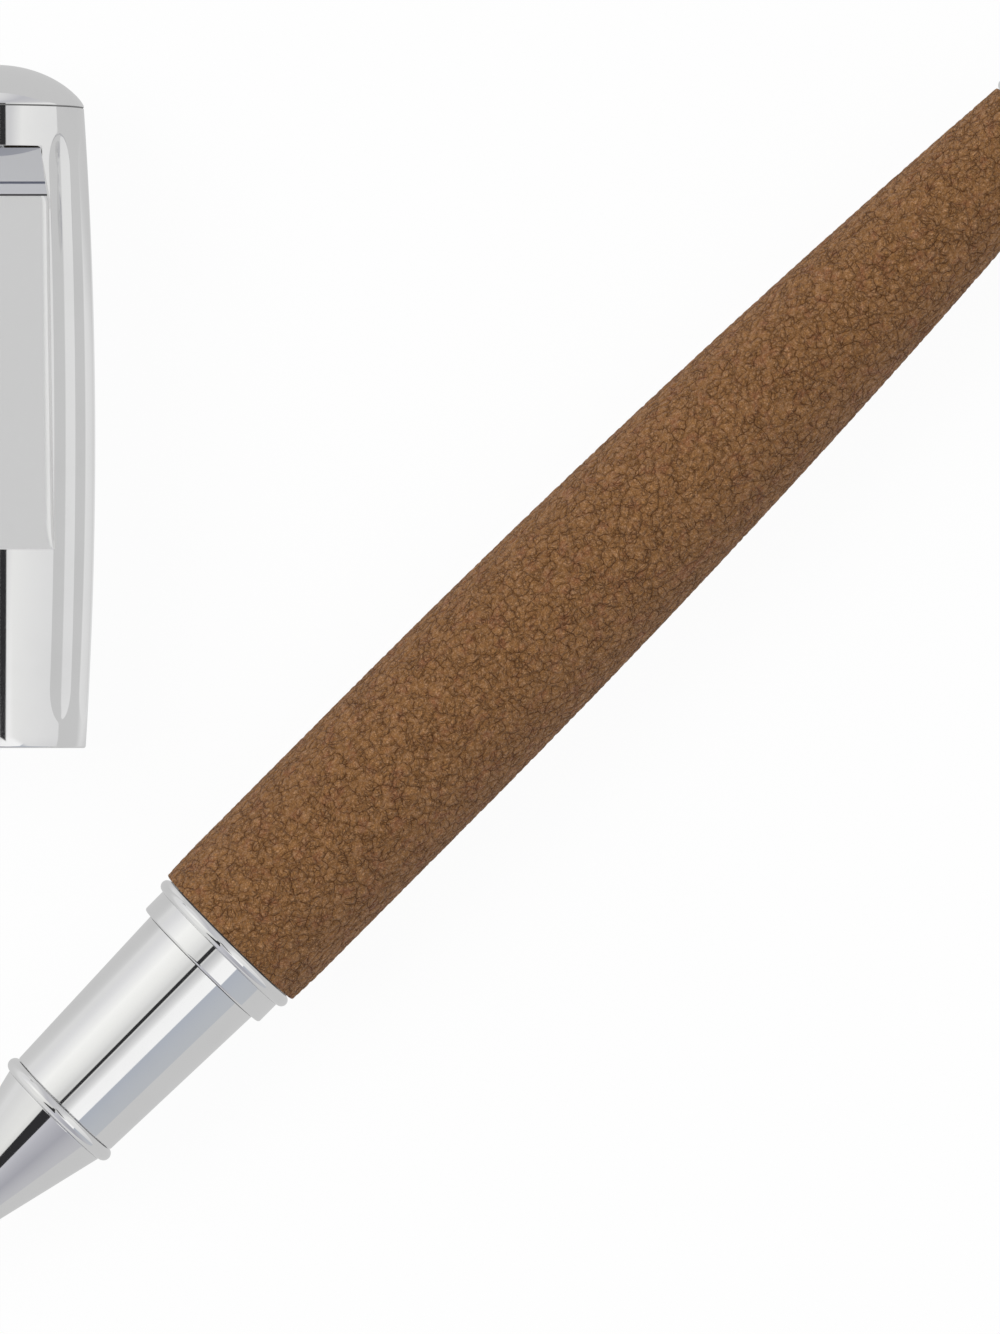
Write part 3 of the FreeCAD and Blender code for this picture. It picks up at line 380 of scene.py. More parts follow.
def new_material(name):
    """An empty material's tree, and its object coordinates."""
    material = bpy.data.materials.get(name) or bpy.data.materials.new(name)
    material.use_nodes = True
    tree = Tree(material.node_tree)
    return material, tree, tree.add("ShaderNodeTexCoord", output="Object")


def finish_material(tree, **inputs):
    """Feeds the surface shader: words joined by _ are the names of its sockets."""
    named = {name.replace("_", " "): value for name, value in inputs.items()}
    shader = tree.add("ShaderNodeBsdfPrincipled", None, named)
    tree.add("ShaderNodeOutputMaterial", None, {"Surface": shader})


def radius_about_pen(tree, place):
    """Distance from the pen's axis, and the place along it."""
    x, y, z = tree.split(place)
    return (y * y + z * z) ** 0.5, x


# --- Materials ----------------------------------------------------------------------------------------

def grain(tree, place, pebble):
    """The grain's pebbles on the rolled-out hide, warped so that no crease runs straight.

    Returns how far a place is from its pebble's crease, its place on the hide, and how near it is to the seam."""
    radius, along = radius_about_pen(tree, place)
    _, y, z = tree.split(place)
    turn = tree.add("ShaderNodeMath", {"operation": "ARCTAN2"}, {0: y, 1: z})
    hide = tree.add("ShaderNodeCombineXYZ", None, {0: along, 1: turn * radius})
    hide = hide + (tree.noise(place, 0.35 / pebble, 2.0, output="Color") - 0.5) * (1.2 * pebble)
    hide = hide + (tree.noise(place, 1.5 / pebble, 3.0, 0.6, output="Color") - 0.5) * (0.62 * pebble)
    seam = 1 - tree.between(math.pi - abs(turn), 0.0, 0.03)
    return tree.cells(hide, pebble), hide, seam


def leather_material(finish, barrel):
    """Pebbled calf leather: creases at three sizes drawn darker, mottled tops with painted highlights and a dry waxed
    surface.
    """
    pebble = barrel.pebble
    material, tree, place = new_material("Pebbled leather")
    edge, hide, seam = grain(tree, place, pebble)
    tremble = (tree.noise(place, 5.0 / pebble, 2.0, output="Color") - 0.5) * (0.2 * pebble)
    fine_edge = tree.cells(hide + tremble, 0.5 * pebble)
    wrinkle_edge = tree.cells(hide + tremble, 0.24 * pebble)
    strength = tree.between(tree.noise(place, 1.1 / pebble, 2.0), 0.3, 0.62, 0.35, 1.0)
    fine_strength = tree.between(tree.noise(place, 0.9 / pebble, 3.0), 0.36, 0.6, 0.2, 1.0)
    crease = (1 - tree.between(edge, 0.0, 0.12)) * strength
    fine_crease = (1 - tree.between(fine_edge, 0.0, 0.17)) * fine_strength
    wrinkle = 1 - tree.between(wrinkle_edge, 0.0, 0.34)
    hollow = 1 - tree.between(edge, 0.0, 0.42)
    pores = tree.noise(place, 8.0 / pebble, 4.0, 0.7)
    mottle = tree.noise(place, 3.2 / pebble, 3.0, 0.65)

    warm = tree.between(tree.noise(place, 0.7 / pebble, 3.0), 0.5, 0.7)
    dye = tree.blend(warm * 0.75, finish.leather, finish.leather_red)
    # Painted highlight on the mottled tops of the pebbles.
    light = tree.blend(tree.between(mottle, 0.44, 0.66, 0.0, 0.75), dye, finish.leather_painted_highlight)
    dark = tree.blend(tree.between(pores, 0.42, 0.75, 0.0, 0.5), light, finish.leather_crease)
    # Darker towards the creases and along the seam.
    gathered = (crease * 0.95).highest(fine_crease * 0.85).highest(wrinkle * 0.5).highest(hollow * 0.34)
    gathered = gathered.highest(seam * 0.7)
    surface = tree.blend(gathered, dark, finish.leather_crease)

    height = (tree.between(edge, 0.0, 0.3) * strength * 0.17
              + tree.between(fine_edge, 0.0, 0.36) * fine_strength * 0.13
              + tree.between(wrinkle_edge, 0.0, 0.5) * 0.05 + mottle * 0.1 + pores * 0.045 - seam * 0.06)
    finish_material(tree, Base_Color=surface, Roughness=tree.between(gathered + pores * 0.4, 0.1, 1.0, 0.48, 0.76),
                    Normal=tree.bump(height, MM), Specular_IOR_Level=0.22, Sheen_Weight=0.08, Sheen_Roughness=0.5,
                    Sheen_Tint=(0.95, 0.6, 0.45, 1.0))
    return material


def leather_core_material(finish):
    """The leather's raw cut edge and flesh side: loose fibres, undyed."""
    material, tree, place = new_material("Leather core")
    fibres = tree.noise(place, 9000.0, 4.0, 0.7)
    surface = tree.blend(tree.between(fibres, 0.35, 0.7), finish.leather_core, finish.leather)
    finish_material(tree, Base_Color=surface, Roughness=0.88, Normal=tree.bump(fibres, 0.04 * MM))
    return material


def polished_material(name, tone, roughness, haze=0.03, wave=0.0009, metallic=1.0):
    """Polished plate: an even mirror with a breath of haze and the slightest wave left by the wheel."""
    material, tree, place = new_material(name)
    breath = tree.noise(place, 180.0, 3.0, 0.6)
    drawn_out = tree.add("ShaderNodeMapping", None, {0: place, "Scale": (1.0, 14.0, 14.0)})
    hairlines = tree.noise(drawn_out, 900.0, 2.0)
    cloud = tree.between(breath, 0.42, 0.72)
    surface = tree.blend(cloud * 0.35, tone, [level * 0.94 for level in tone])
    finish_material(tree, Base_Color=surface, Metallic=metallic,
                    Roughness=roughness + cloud * haze + tree.between(hairlines, 0.5, 0.8) * 0.012,
                    Normal=tree.bump(tree.noise(place, 260.0, 1.0), wave * MM))
    return material


def turned_metal_material(name, tone, roughness, ring_pitch, depth):
    """Metal straight from the lathe: fine rings round the pen's axis and a little tarnish."""
    material, tree, place = new_material(name)
    radius, along = radius_about_pen(tree, place)
    lathe_place = tree.add("ShaderNodeCombineXYZ", None, {0: along, 1: radius})
    rings = tree.noise(lathe_place, 1 / (ring_pitch * MM), 2.0)
    tarnish = tree.between(tree.noise(place, 320.0, 4.0, 0.6), 0.4, 0.75)
    surface = tree.blend(tarnish * 0.6, tone, [level * 0.72 for level in tone])
    finish_material(tree, Base_Color=surface, Metallic=1.0, Roughness=roughness + tarnish * 0.14 + rings * 0.08,
                    Normal=tree.bump(rings, depth * MM))
    return material


def moulded_material(name, tone, roughness, texture=0.004):
    """Moulded plastic or rubber: a fine spark-eroded texture with faint flow marks."""
    material, tree, place = new_material(name)
    flow = tree.between(tree.noise(place, 240.0, 3.0), 0.4, 0.7)
    texture_noise = tree.noise(place, 7000.0, 2.0)
    surface = tree.blend(flow * 0.5, tone, [min(1.0, level * 1.35 + 0.01) for level in tone])
    finish_material(tree, Base_Color=surface, Roughness=roughness + flow * 0.08 + texture_noise * 0.06,
                    Normal=tree.bump(texture_noise, texture * MM), Specular_IOR_Level=0.45)
    return material


def fibre_material(name, tone, soaked):
    """Bundled fibre soaked with ink: strands along the pen, darker where the ink stands."""
    material, tree, place = new_material(name)
    drawn_out = tree.add("ShaderNodeMapping", None, {0: place, "Scale": (1.0, 30.0, 30.0)})
    strands = tree.noise(drawn_out, 260.0, 3.0, 0.6)
    dry_fibre = (0.78, 0.78, 0.8)
    surface = tree.blend(tree.between(strands, 0.3, 0.7, 0.0, soaked), dry_fibre, tone)
    finish_material(tree, Base_Color=surface, Roughness=0.75 + strands * 0.15,
                    Normal=tree.bump(strands, 0.03 * MM))
    return material


# --- Mesh helpers -------------------------------------------------------------------------------------

def arc(start, end, rise, steps):
    """Points of an arc from start to end that bulges to the left of the way by rise, without its start."""
    start, end = Vector(start), Vector(end)
    chord = end - start
    half = chord.length / 2
    bend = (half * half + rise * rise) / (2 * rise)
    left = Vector((-chord.y, chord.x)).normalized()
    centre = start + chord / 2 + left * (rise - bend)
    first = start - centre
    turn = -2 * math.asin(min(1.0, half / bend))
    points = []
    for step in range(1, steps + 1):
        spoke = first.copy()
        spoke.rotate(Matrix.Rotation(turn * step / steps, 2))
        points.append(tuple(centre + spoke))
    return points


def turned(points, columns, closed=True):
    """A bmesh turned about the X axis from an outline of (along, radius) points."""
    bm = bmesh.new()
    verts = [bm.verts.new((along, 0.0, radius)) for along, radius in points]
    edges = [bm.edges.new(pair) for pair in zip(verts, verts[1:])]
    if closed:
        edges.append(bm.edges.new((verts[-1], verts[0])))
    bmesh.ops.spin(bm, geom=verts + edges, cent=(0, 0, 0), axis=(1, 0, 0), dvec=(0, 0, 0),
                   angle=math.tau, steps=columns, use_merge=True, use_duplicate=False)
    bmesh.ops.remove_doubles(bm, verts=bm.verts[:], dist=1e-7)
    bmesh.ops.recalc_face_normals(bm, faces=bm.faces[:])
    return bm


def soften(bm, width, least=math.radians(35), segments=3, choose=None):
    """Rounds the crisp edges of a bmesh."""
    edges = [edge for edge in bm.edges if len(edge.link_faces) == 2 and edge.calc_face_angle(0.0) > least
             and (choose is None or choose(edge))]
    if edges:
        bmesh.ops.bevel(bm, geom=edges, offset=width, offset_type="OFFSET", segments=segments, profile=0.5,
                        affect="EDGES", clamp_overlap=True, material=-1)


# Places of the materials on a piece of chrome that has more than one: the plate; painted shade in seams and on the
# clip's step; painted shade at the clip's root and in the groove between its slope and ridge; and painted shade on
# the clip's slope and ridge.
PLATE, SEAM_SHADE, CLIP_ROOT_SHADE, CLIP_SLOPE_SHADE = range(4)


def finishes(*names):
    """Materials by their names."""
    return [bpy.data.materials[name] for name in names]


def add_piece(name, bm, body, materials, nodes, sharp=40.0, even=True, mirrored=True):
    """Makes the finished bmesh an object that rides on a body and stands for its CAD nodes.

    A piece that isn't mirrored doesn't show in the chrome of the others.
    """
    old = bpy.data.objects.get(name)
    if old:
        bpy.data.objects.remove(old)
    mesh = bpy.data.meshes.new(name)
    for face in bm.faces:
        face.smooth = True
    bm.to_mesh(mesh)
    bm.free()
    mesh.set_sharp_from_angle(angle=math.radians(sharp))
    for material in materials:
        mesh.materials.append(material)
    piece = bpy.data.objects.new(name, mesh)
    bpy.context.scene.collection.objects.link(piece)
    piece.visible_glossy = mirrored
    if even:
        weighted = piece.modifiers.new("Even shading", "WEIGHTED_NORMAL")
        weighted.keep_sharp = True
    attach(piece, body)
    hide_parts(*nodes)
    return piece


def cap_place():
    """Takes a piece drawn along X from the cap's mouth to where the cap lies."""
    bore = MOUNTS["cap_bore"]
    inwards = -Vector(bore["axis"])
    if inwards.x < 0:
        inwards = -inwards
    mouth = Vector(bore["pos_m"]) - inwards * (bore["dims"]["length_mm"] * MM / 2 + LINER_START)
    return Matrix.Translation(mouth) @ Matrix.Rotation(math.atan2(inwards.y, inwards.x), 4, "Z")


def belly_radius(cap, along):
    """Radius of the shell's outside, one shallow arc from mouth to crown."""
    rise = cap.belly_radius - cap.mouth_radius
    bend = (cap.belly_place ** 2 + rise ** 2) / (2 * rise)
    return cap.belly_radius - bend + math.sqrt(bend ** 2 - (along - cap.belly_place) ** 2)


def span(node):
    """Where a CAD node starts and ends along the pen."""
    low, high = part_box(node)
    return low.x, high.x


# --- Pieces -------------------------------------------------------------------------------------------

class PEN_OT_leather_sleeve(bpy.types.Operator):
    """Builds the pebbled leather sleeve"""
    bl_idname = "pen.leather_sleeve"
    bl_label = "Leather Sleeve"

    def execute(self, context):
        sizes, finish = context.scene.pen_barrel, context.scene.pen_finish
        front, rear = span("leather_sleeve")
        taper_start = front + sizes.straight
        fall = sizes.leather_radius - sizes.tail_radius
        run = rear - taper_start
        bend = (run * run + fall * fall) / (2 * fall)

        def radius_at(along):
            """Radius of the leather's outside."""
            if along <= front + sizes.edge_run:
                return sizes.edge_radius + (sizes.leather_radius - sizes.edge_radius) * math.sin(
                    math.pi / 2 * (along - front) / sizes.edge_run)
            if along <= taper_start:
                return sizes.leather_radius
            return sizes.leather_radius - bend + math.sqrt(bend ** 2 - (along - taper_start) ** 2)

        rounding, count = sizes.edge_round, round((rear - front) / sizes.grid)
        stations = [front + rounding + (rear - front - 2 * rounding) * step / count for step in range(count + 1)]
        outer = [(along, radius_at(along)) for along in stations]
        inner = sizes.thickness - rounding
        points = [(front, outer[0][1] - rounding), (front + 0.3 * rounding, outer[0][1] - 0.3 * rounding), *outer,
                  (rear - 0.3 * rounding, outer[-1][1] - 0.3 * rounding), (rear, outer[-1][1] - rounding),
                  (rear, outer[-1][1] - sizes.thickness)]
        coarse = 20  # the inner wall needs only every twentieth station
        points += [(along, radius_at(along) - sizes.thickness) for along in stations[-coarse:coarse - 1:-coarse]]
        points += [(front, outer[0][1] - inner - rounding)]
        columns = round(math.tau * sizes.leather_radius / sizes.grid)
        bm = turned(points, columns)
        for face in bm.faces:
            middle = face.calc_center_median()
            away = math.hypot(middle.y, middle.z)
            inside = away < radius_at(middle.x) - 0.5 * sizes.thickness
            face.material_index = 1 if inside else 0
        materials = [leather_material(finish, sizes), leather_core_material(finish)]
        piece = add_piece("leather_sleeve_grain", bm, "barrel", materials, ["leather_sleeve"],
                          sharp=180.0, even=False, mirrored=False)
        self.raise_grain(piece, sizes, front, rear)
        return {"FINISHED"}

    @staticmethod
    def raise_grain(piece, sizes, front, rear):
        """Sinks the creases between the pebbles into the mesh, by the pattern that the material draws."""
        group = bpy.data.node_groups.new("Leather grain", "GeometryNodeTree")
        group.interface.new_socket("Geometry", in_out="INPUT", socket_type="NodeSocketGeometry")
        group.interface.new_socket("Geometry", in_out="OUTPUT", socket_type="NodeSocketGeometry")
        tree = Tree(group)
        place = tree.add("GeometryNodeInputPosition")
        edge, _, _ = grain(tree, place, sizes.pebble)
        radius, along = radius_about_pen(tree, place)
        outside = tree.between(radius, 0.5 * sizes.tail_radius, 0.55 * sizes.tail_radius)
        clear_of_ends = (tree.between(along, front, front + 0.5 * MM)
                         * tree.between(along, rear - 0.5 * MM, rear, 1.0, 0.0))
        dome = (tree.between(edge, 0.0, 0.3) - 1.0) * sizes.relief * outside * clear_of_ends
        normal = tree.add("GeometryNodeInputNormal")
        offset = tree.add("ShaderNodeVectorMath", {"operation": "SCALE"}, {0: normal, "Scale": dome})
        start = tree.add("NodeGroupInput")
        moved = tree.add("GeometryNodeSetPosition", None, {"Geometry": start, "Offset": offset})
        tree.add("NodeGroupOutput", None, {0: moved})
        modifier = piece.modifiers.new("Grain", "NODES")
        modifier.node_group = group
        grown = bpy.data.meshes.new_from_object(piece.evaluated_get(bpy.context.evaluated_depsgraph_get()))
        piece.modifiers.clear()
        piece.data = grown


class PEN_OT_collar(bpy.types.Operator):
    """Builds the chrome band and the bead that stops the cap"""
    bl_idname = "pen.collar"
    bl_label = "Barrel Collar"

    def execute(self, context):
        sizes = context.scene.pen_barrel
        front, rear = span("barrel_collar")
        leather_front = span("leather_sleeve")[0]
        band, corner = sizes.band_end, sizes.band_round
        bead_end, seam_end = leather_front - sizes.seam, leather_front + 0.2 * MM
        shoulder = sizes.bead_radius - sizes.bead_rise
        points = [
            (front, sizes.bore_radius),
            (front, sizes.band_radius - corner),
            *arc((front, sizes.band_radius - corner), (front + corner, sizes.band_radius),
                 corner * (1 - math.sqrt(0.5)), 7),
            (band - 0.03 * MM, sizes.band_radius),
            (band, sizes.band_radius - 0.05 * MM),
            (band, shoulder),
            *arc((band, shoulder), (bead_end, shoulder), sizes.bead_rise, 26),
            (bead_end, sizes.spigot_radius),
            (seam_end, sizes.spigot_radius),
            (rear - 0.1 * MM, sizes.spigot_radius),
            (rear, sizes.spigot_radius - 0.1 * MM),
            (rear, sizes.bore_radius),
        ]
        bm = turned(points, context.scene.pen_stage.columns)
        # Painted shade: the seam between the bead and the leather gets the dark seam shade.
        for face in bm.faces:
            in_seam = bead_end - 0.005 * MM < face.calc_center_median().x < seam_end
            face.material_index = SEAM_SHADE if in_seam else PLATE
        add_piece("barrel_collar_chrome", bm, "barrel", finishes("Polished chrome", "Seam and groove shade"),
                  ["barrel_collar"])
        return {"FINISHED"}


class PEN_OT_tail(bpy.types.Operator):
    """Builds the tail ring and the finial"""
    bl_idname = "pen.tail"
    bl_label = "Tail Ring and Finial"

    def execute(self, context):
        sizes, columns = context.scene.pen_barrel, context.scene.pen_stage.columns
        chrome = finishes("Polished chrome")
        front, rear = span("tail_ring")
        ring_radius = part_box("tail_ring")[1].z
        shoulder = ring_radius - sizes.ring_rise
        hole = sizes.stud_radius + 0.03 * MM
        bm = turned([(front, hole), (front, shoulder), *arc((front, shoulder), (rear, shoulder), sizes.ring_rise, 20),
                     (rear, hole)], columns)
        soften(bm, 0.03 * MM)
        add_piece("tail_ring_chrome", bm, "barrel", chrome, ["tail_ring"])

        stud, end = span("tail_finial")
        start = rear + 0.05 * MM
        dome = end - sizes.finial_dome
        slant = math.hypot(dome - start, sizes.finial_radius - sizes.finial_end_radius)
        bend = 1.6 * slant
        rise = bend - math.sqrt(bend ** 2 - slant ** 2 / 4)
        whole_dome = arc((dome, sizes.finial_end_radius), (dome, -sizes.finial_end_radius), sizes.finial_dome, 28)
        bm = turned([(stud, 0.0), (stud, sizes.stud_radius - 0.15 * MM), (stud + 0.15 * MM, sizes.stud_radius),
                     (start, sizes.stud_radius), (start, sizes.finial_radius),
                     *arc((start, sizes.finial_radius), (dome, sizes.finial_end_radius), rise, 28),
                     *whole_dome[:13], (end, 0.0)], columns, closed=False)
        soften(bm, 0.06 * MM, least=math.radians(30))
        add_piece("tail_finial_chrome", bm, "barrel", chrome, ["tail_finial"])
        return {"FINISHED"}


class PEN_OT_section(bpy.types.Operator):
    """Builds the chrome writing section, its ring and the nose cone"""
    bl_idname = "pen.section"
    bl_label = "Section, Ring and Nose"

    def execute(self, context):
        sizes, columns = context.scene.pen_section, context.scene.pen_stage.columns
        chrome = finishes("Polished chrome", "Seam and groove shade")
        front, rear = span("grip_section")
        step = rear - sizes.shank_depth + 0.1 * MM
        rear = span("barrel_collar")[0] - 0.01 * MM
        bm = turned([(front, sizes.bore_radius), (front, sizes.front_radius), (rear, sizes.rear_radius),
                     (rear, sizes.shank_radius), (step, sizes.shank_radius), (step, sizes.bore_radius)], columns)
        soften(bm, 0.06 * MM)
        # Painted shade: the seam where the section meets the collar gets the dark seam shade.
        for face in bm.faces:
            in_seam = rear - 0.055 * MM < face.calc_center_median().x < rear - 0.003 * MM
            face.material_index = SEAM_SHADE if in_seam else PLATE
        add_piece("grip_section_chrome", bm, "section", chrome, ["grip_section"])

        front, rear = span("section_ring")
        shoulder = sizes.ring_radius - sizes.ring_rise
        bm = turned([(front, sizes.bore_radius), (front, shoulder),
                     *arc((front, shoulder), (rear, shoulder), sizes.ring_rise, 22),
                     (rear, sizes.bore_radius)], columns)
        soften(bm, 0.04 * MM, least=math.radians(50))
        add_piece("section_ring_chrome", bm, "section", chrome[:1], ["section_ring"])

        front, spigot_end = span("nose_cone")
        rear = span("section_ring")[0] - 0.01 * MM
        spigot = sizes.bore_radius - 0.03 * MM
        bore_start = spigot_end - sizes.nose_bore_depth
        slope = (sizes.nose_rear_radius - sizes.nose_front_radius) / (rear - front)
        cone_end = bore_start - (sizes.nose_bore_radius - sizes.nose_hole_radius) / slope
        bm = turned([(front, sizes.nose_hole_radius), (front, sizes.nose_front_radius),
                     (rear, sizes.nose_rear_radius), (rear, spigot), (spigot_end, spigot),
                     (spigot_end, sizes.nose_bore_radius), (bore_start, sizes.nose_bore_radius),
                     (max(cone_end, front + 0.8 * MM), sizes.nose_hole_radius)], columns)
        soften(bm, 0.1 * MM)
        add_piece("nose_cone_chrome", bm, "section", chrome[:1], ["nose_cone"])
        return {"FINISHED"}


class PEN_OT_thread(bpy.types.Operator):
    """Builds the brass sleeve with the thread that screws the section into the barrel"""
    bl_idname = "pen.thread"
    bl_label = "Threaded Sleeve"

    def execute(self, context):
        sizes, columns = context.scene.pen_section, 96
        front, rear = span("section_sleeve")
        shank = sizes.shank_radius - 0.03 * MM
        root = sizes.thread_radius - sizes.thread_depth
        shoulder = span("grip_section")[1] + 0.05 * MM
        bm = turned([(front, sizes.sleeve_bore), (front, shank), (shoulder, shank), (shoulder, sizes.thread_radius),
                     (shoulder + 0.6 * MM, sizes.thread_radius), (shoulder + 0.9 * MM, root), (rear - 0.3 * MM, root),
                     (rear, root - 0.3 * MM), (rear, sizes.sleeve_bore)], columns)
        soften(bm, 0.03 * MM)
        self.wind_thread(bm, sizes, columns, root, shoulder + 1.1 * MM,
                         turns=int((rear - shoulder - 1.6 * MM) / sizes.thread_pitch))
        add_piece("section_sleeve_thread", bm, "section", finishes("Turned brass"), ["section_sleeve"],
                  sharp=35.0, mirrored=False)
        return {"FINISHED"}

    @staticmethod
    def wind_thread(bm, sizes, columns, root, start, turns):
        """Winds the thread's ridge round the sleeve and lets both its ends run out small."""
        half, foot = 0.46 * sizes.thread_pitch, root - 0.05 * MM
        tooth = [bm.verts.new((start + along, 0.0, high)) for along, high in (
            (-half, foot), (-0.12 * half, sizes.thread_radius), (0.12 * half, sizes.thread_radius), (half, foot))]
        edges = [bm.edges.new(pair) for pair in zip(tooth, tooth[1:] + tooth[:1])]
        first_end = bm.faces.new(tooth)
        ridge = bmesh.ops.spin(bm, geom=tooth + edges + [first_end], cent=(0, 0, 0), axis=(1, 0, 0),
                               dvec=(sizes.thread_pitch / columns, 0, 0), angle=math.tau * turns,
                               steps=columns * turns, use_merge=False, use_duplicate=False)
        for end in [first_end] + [item for item in ridge["geom_last"] if isinstance(item, bmesh.types.BMFace)]:
            middle = end.calc_center_median()
            for vert in end.verts:
                vert.co = middle + (vert.co - middle) * 0.2
        bmesh.ops.recalc_face_normals(bm, faces=bm.faces[:])


class PEN_OT_cap_shell(bpy.types.Operator):
    """Builds the fluted shell of the cap with the clip's window"""
    bl_idname = "pen.cap_shell"
    bl_label = "Cap Shell"

    def execute(self, context):
        sizes = context.scene.pen_cap
        columns = 2 * context.scene.pen_stage.columns
        lip, top, bore, top_edge = sizes.lip_round, sizes.length, sizes.bore_radius, 0.06 * MM
        mouth_radius, top_radius = belly_radius(sizes, 0.0), belly_radius(sizes, top)
        flute_start, flute_stop = sizes.flute_from_mouth, top - sizes.flute_from_crown
        stations = self.place_rings(sizes, flute_start, flute_stop)
        bm = turned([(0.0, bore + lip), (0.0, mouth_radius - lip), (0.12 * lip, mouth_radius - 0.5 * lip),
                     (0.5 * lip, mouth_radius - 0.12 * lip),
                     *((along, belly_radius(sizes, along)) for along in stations),
                     (top - top_edge, top_radius), (top, top_radius - top_edge), (top, bore), (0.75 * top, bore),
                     (0.4 * top, bore), (lip, bore)], columns)
        self.press_flutes(bm, sizes, flute_start, flute_stop)
        self.cut_window(bm, sizes)
        # Painted shade: the chamfer at the seam under the crown gets the dark seam shade.
        for face in bm.faces:
            in_seam = face.calc_center_median().x > top - top_edge
            face.material_index = SEAM_SHADE if in_seam else PLATE
        bm.transform(cap_place())
        add_piece("cap_shell_fluted", bm, "cap", finishes("Cap chrome", "Seam and groove shade"), ["cap_shell"],
                  mirrored=False)
        return {"FINISHED"}

    @staticmethod
    def place_rings(sizes, flute_start, flute_stop):
        """Places of the rings of vertices along the shell, close together where the flutes run out."""
        places, along = [], sizes.lip_round
        while along < sizes.length - 0.08 * MM:
            places.append(along)
            near_end = min(abs(along - flute_start - sizes.flute_end / 2),
                           abs(along - flute_stop + sizes.flute_end / 2)) < 0.75 * sizes.flute_end
            along += 0.16 * MM if near_end else 0.7 * MM
        return places

    @staticmethod
    def press_flutes(bm, sizes, start, stop):
        """Sinks the outer skin along eight flutes whose ends run out round."""
        middles = []
        for flute in (sizes.first_flute, sizes.second_flute):
            middles += [flute, -flute, math.pi - flute, flute - math.pi]
        half = sizes.flute_width / 2
        for vert in bm.verts:
            reach = math.hypot(vert.co.y, vert.co.z)
            if reach < belly_radius(sizes, vert.co.x) - 0.01 * MM or not start < vert.co.x < stop:
                continue
            turn = math.atan2(vert.co.y, vert.co.z)
            aside = min(abs((turn - middle + math.pi) % math.tau - math.pi) for middle in middles) * reach
            to_end = min(vert.co.x - start, stop - vert.co.x)
            past = max(0.0, 1.0 - to_end / sizes.flute_end)
            away = math.hypot(aside / half, past)
            if away < 1.0:
                fall = sizes.flute_depth * (1 - away ** 2) * min(1.0, (1 - away) / 0.16) ** 0.5
                shrunk = (reach - fall) / reach
                vert.co.y *= shrunk
                vert.co.z *= shrunk

    @staticmethod
    def cut_window(bm, sizes):
        """Cuts the clip's window through the upper wall."""
        half = sizes.window_half_width

        def upper():
            faces = [face for face in bm.faces if face.calc_center_median().z > 0.5 * sizes.bore_radius
                     and sizes.window_start - 4 * MM < face.calc_center_median().x < sizes.window_end + 4 * MM]
            edges = {edge for face in faces for edge in face.edges}
            verts = {vert for face in faces for vert in face.verts}
            return [*verts, *edges, *faces]

        for point, normal in (((sizes.window_start, 0, 0), (1, 0, 0)), ((sizes.window_end, 0, 0), (1, 0, 0)),
                              ((0, half, 0), (0, 1, 0)), ((0, -half, 0), (0, 1, 0))):
            bmesh.ops.bisect_plane(bm, geom=upper(), dist=ON_PLANE, plane_co=point, plane_no=normal)
        inside = []
        for face in bm.faces:
            middle = face.calc_center_median()
            if (sizes.window_start < middle.x < sizes.window_end and abs(middle.y) < half
                    and middle.z > 0.5 * sizes.bore_radius):
                inside.append(face)
        bmesh.ops.delete(bm, geom=inside, context="FACES")
        rims = [edge for edge in bm.edges if len(edge.link_faces) == 1]
        bmesh.ops.bridge_loops(bm, edges=rims)


class PEN_OT_cap_crown(bpy.types.Operator):
    """Builds the domed crown of the cap"""
    bl_idname = "pen.cap_crown"
    bl_label = "Cap Crown"

    def execute(self, context):
        sizes = context.scene.pen_cap
        edge = belly_radius(sizes, sizes.length)
        under = sizes.length + sizes.seam
        rim = under + sizes.crown_rim
        dome = sizes.crown_height - sizes.crown_rim
        bend = (edge ** 2 + dome ** 2) / (2 * dome)
        over, steps = [], 40
        for step in range(1, steps):
            lean = step / steps * math.pi / 2
            radius = edge * math.cos(lean)
            shallow, full = math.sqrt(bend ** 2 - radius ** 2) - bend + dome, dome * math.sin(lean)
            over.append((rim + shallow + sizes.crown_fullness * (full - shallow), radius))
        bm = turned([(under + sizes.stud_depth, 0.0), (under + sizes.stud_depth, sizes.stud_radius),
                     (under, sizes.stud_radius), (under, edge), (rim, edge), *over, (rim + dome, 0.0)],
                    context.scene.pen_stage.columns, closed=False)
        # Painted shade: the crown's underside at the seam gets the dark seam shade.
        for face in bm.faces:
            in_seam = face.calc_center_median().x < under + 0.01 * MM
            face.material_index = SEAM_SHADE if in_seam else PLATE
        bm.transform(cap_place())
        add_piece("cap_crown_dome", bm, "cap", finishes("Polished chrome", "Seam and groove shade"), ["cap_crown"],
                  mirrored=False)
        return {"FINISHED"}


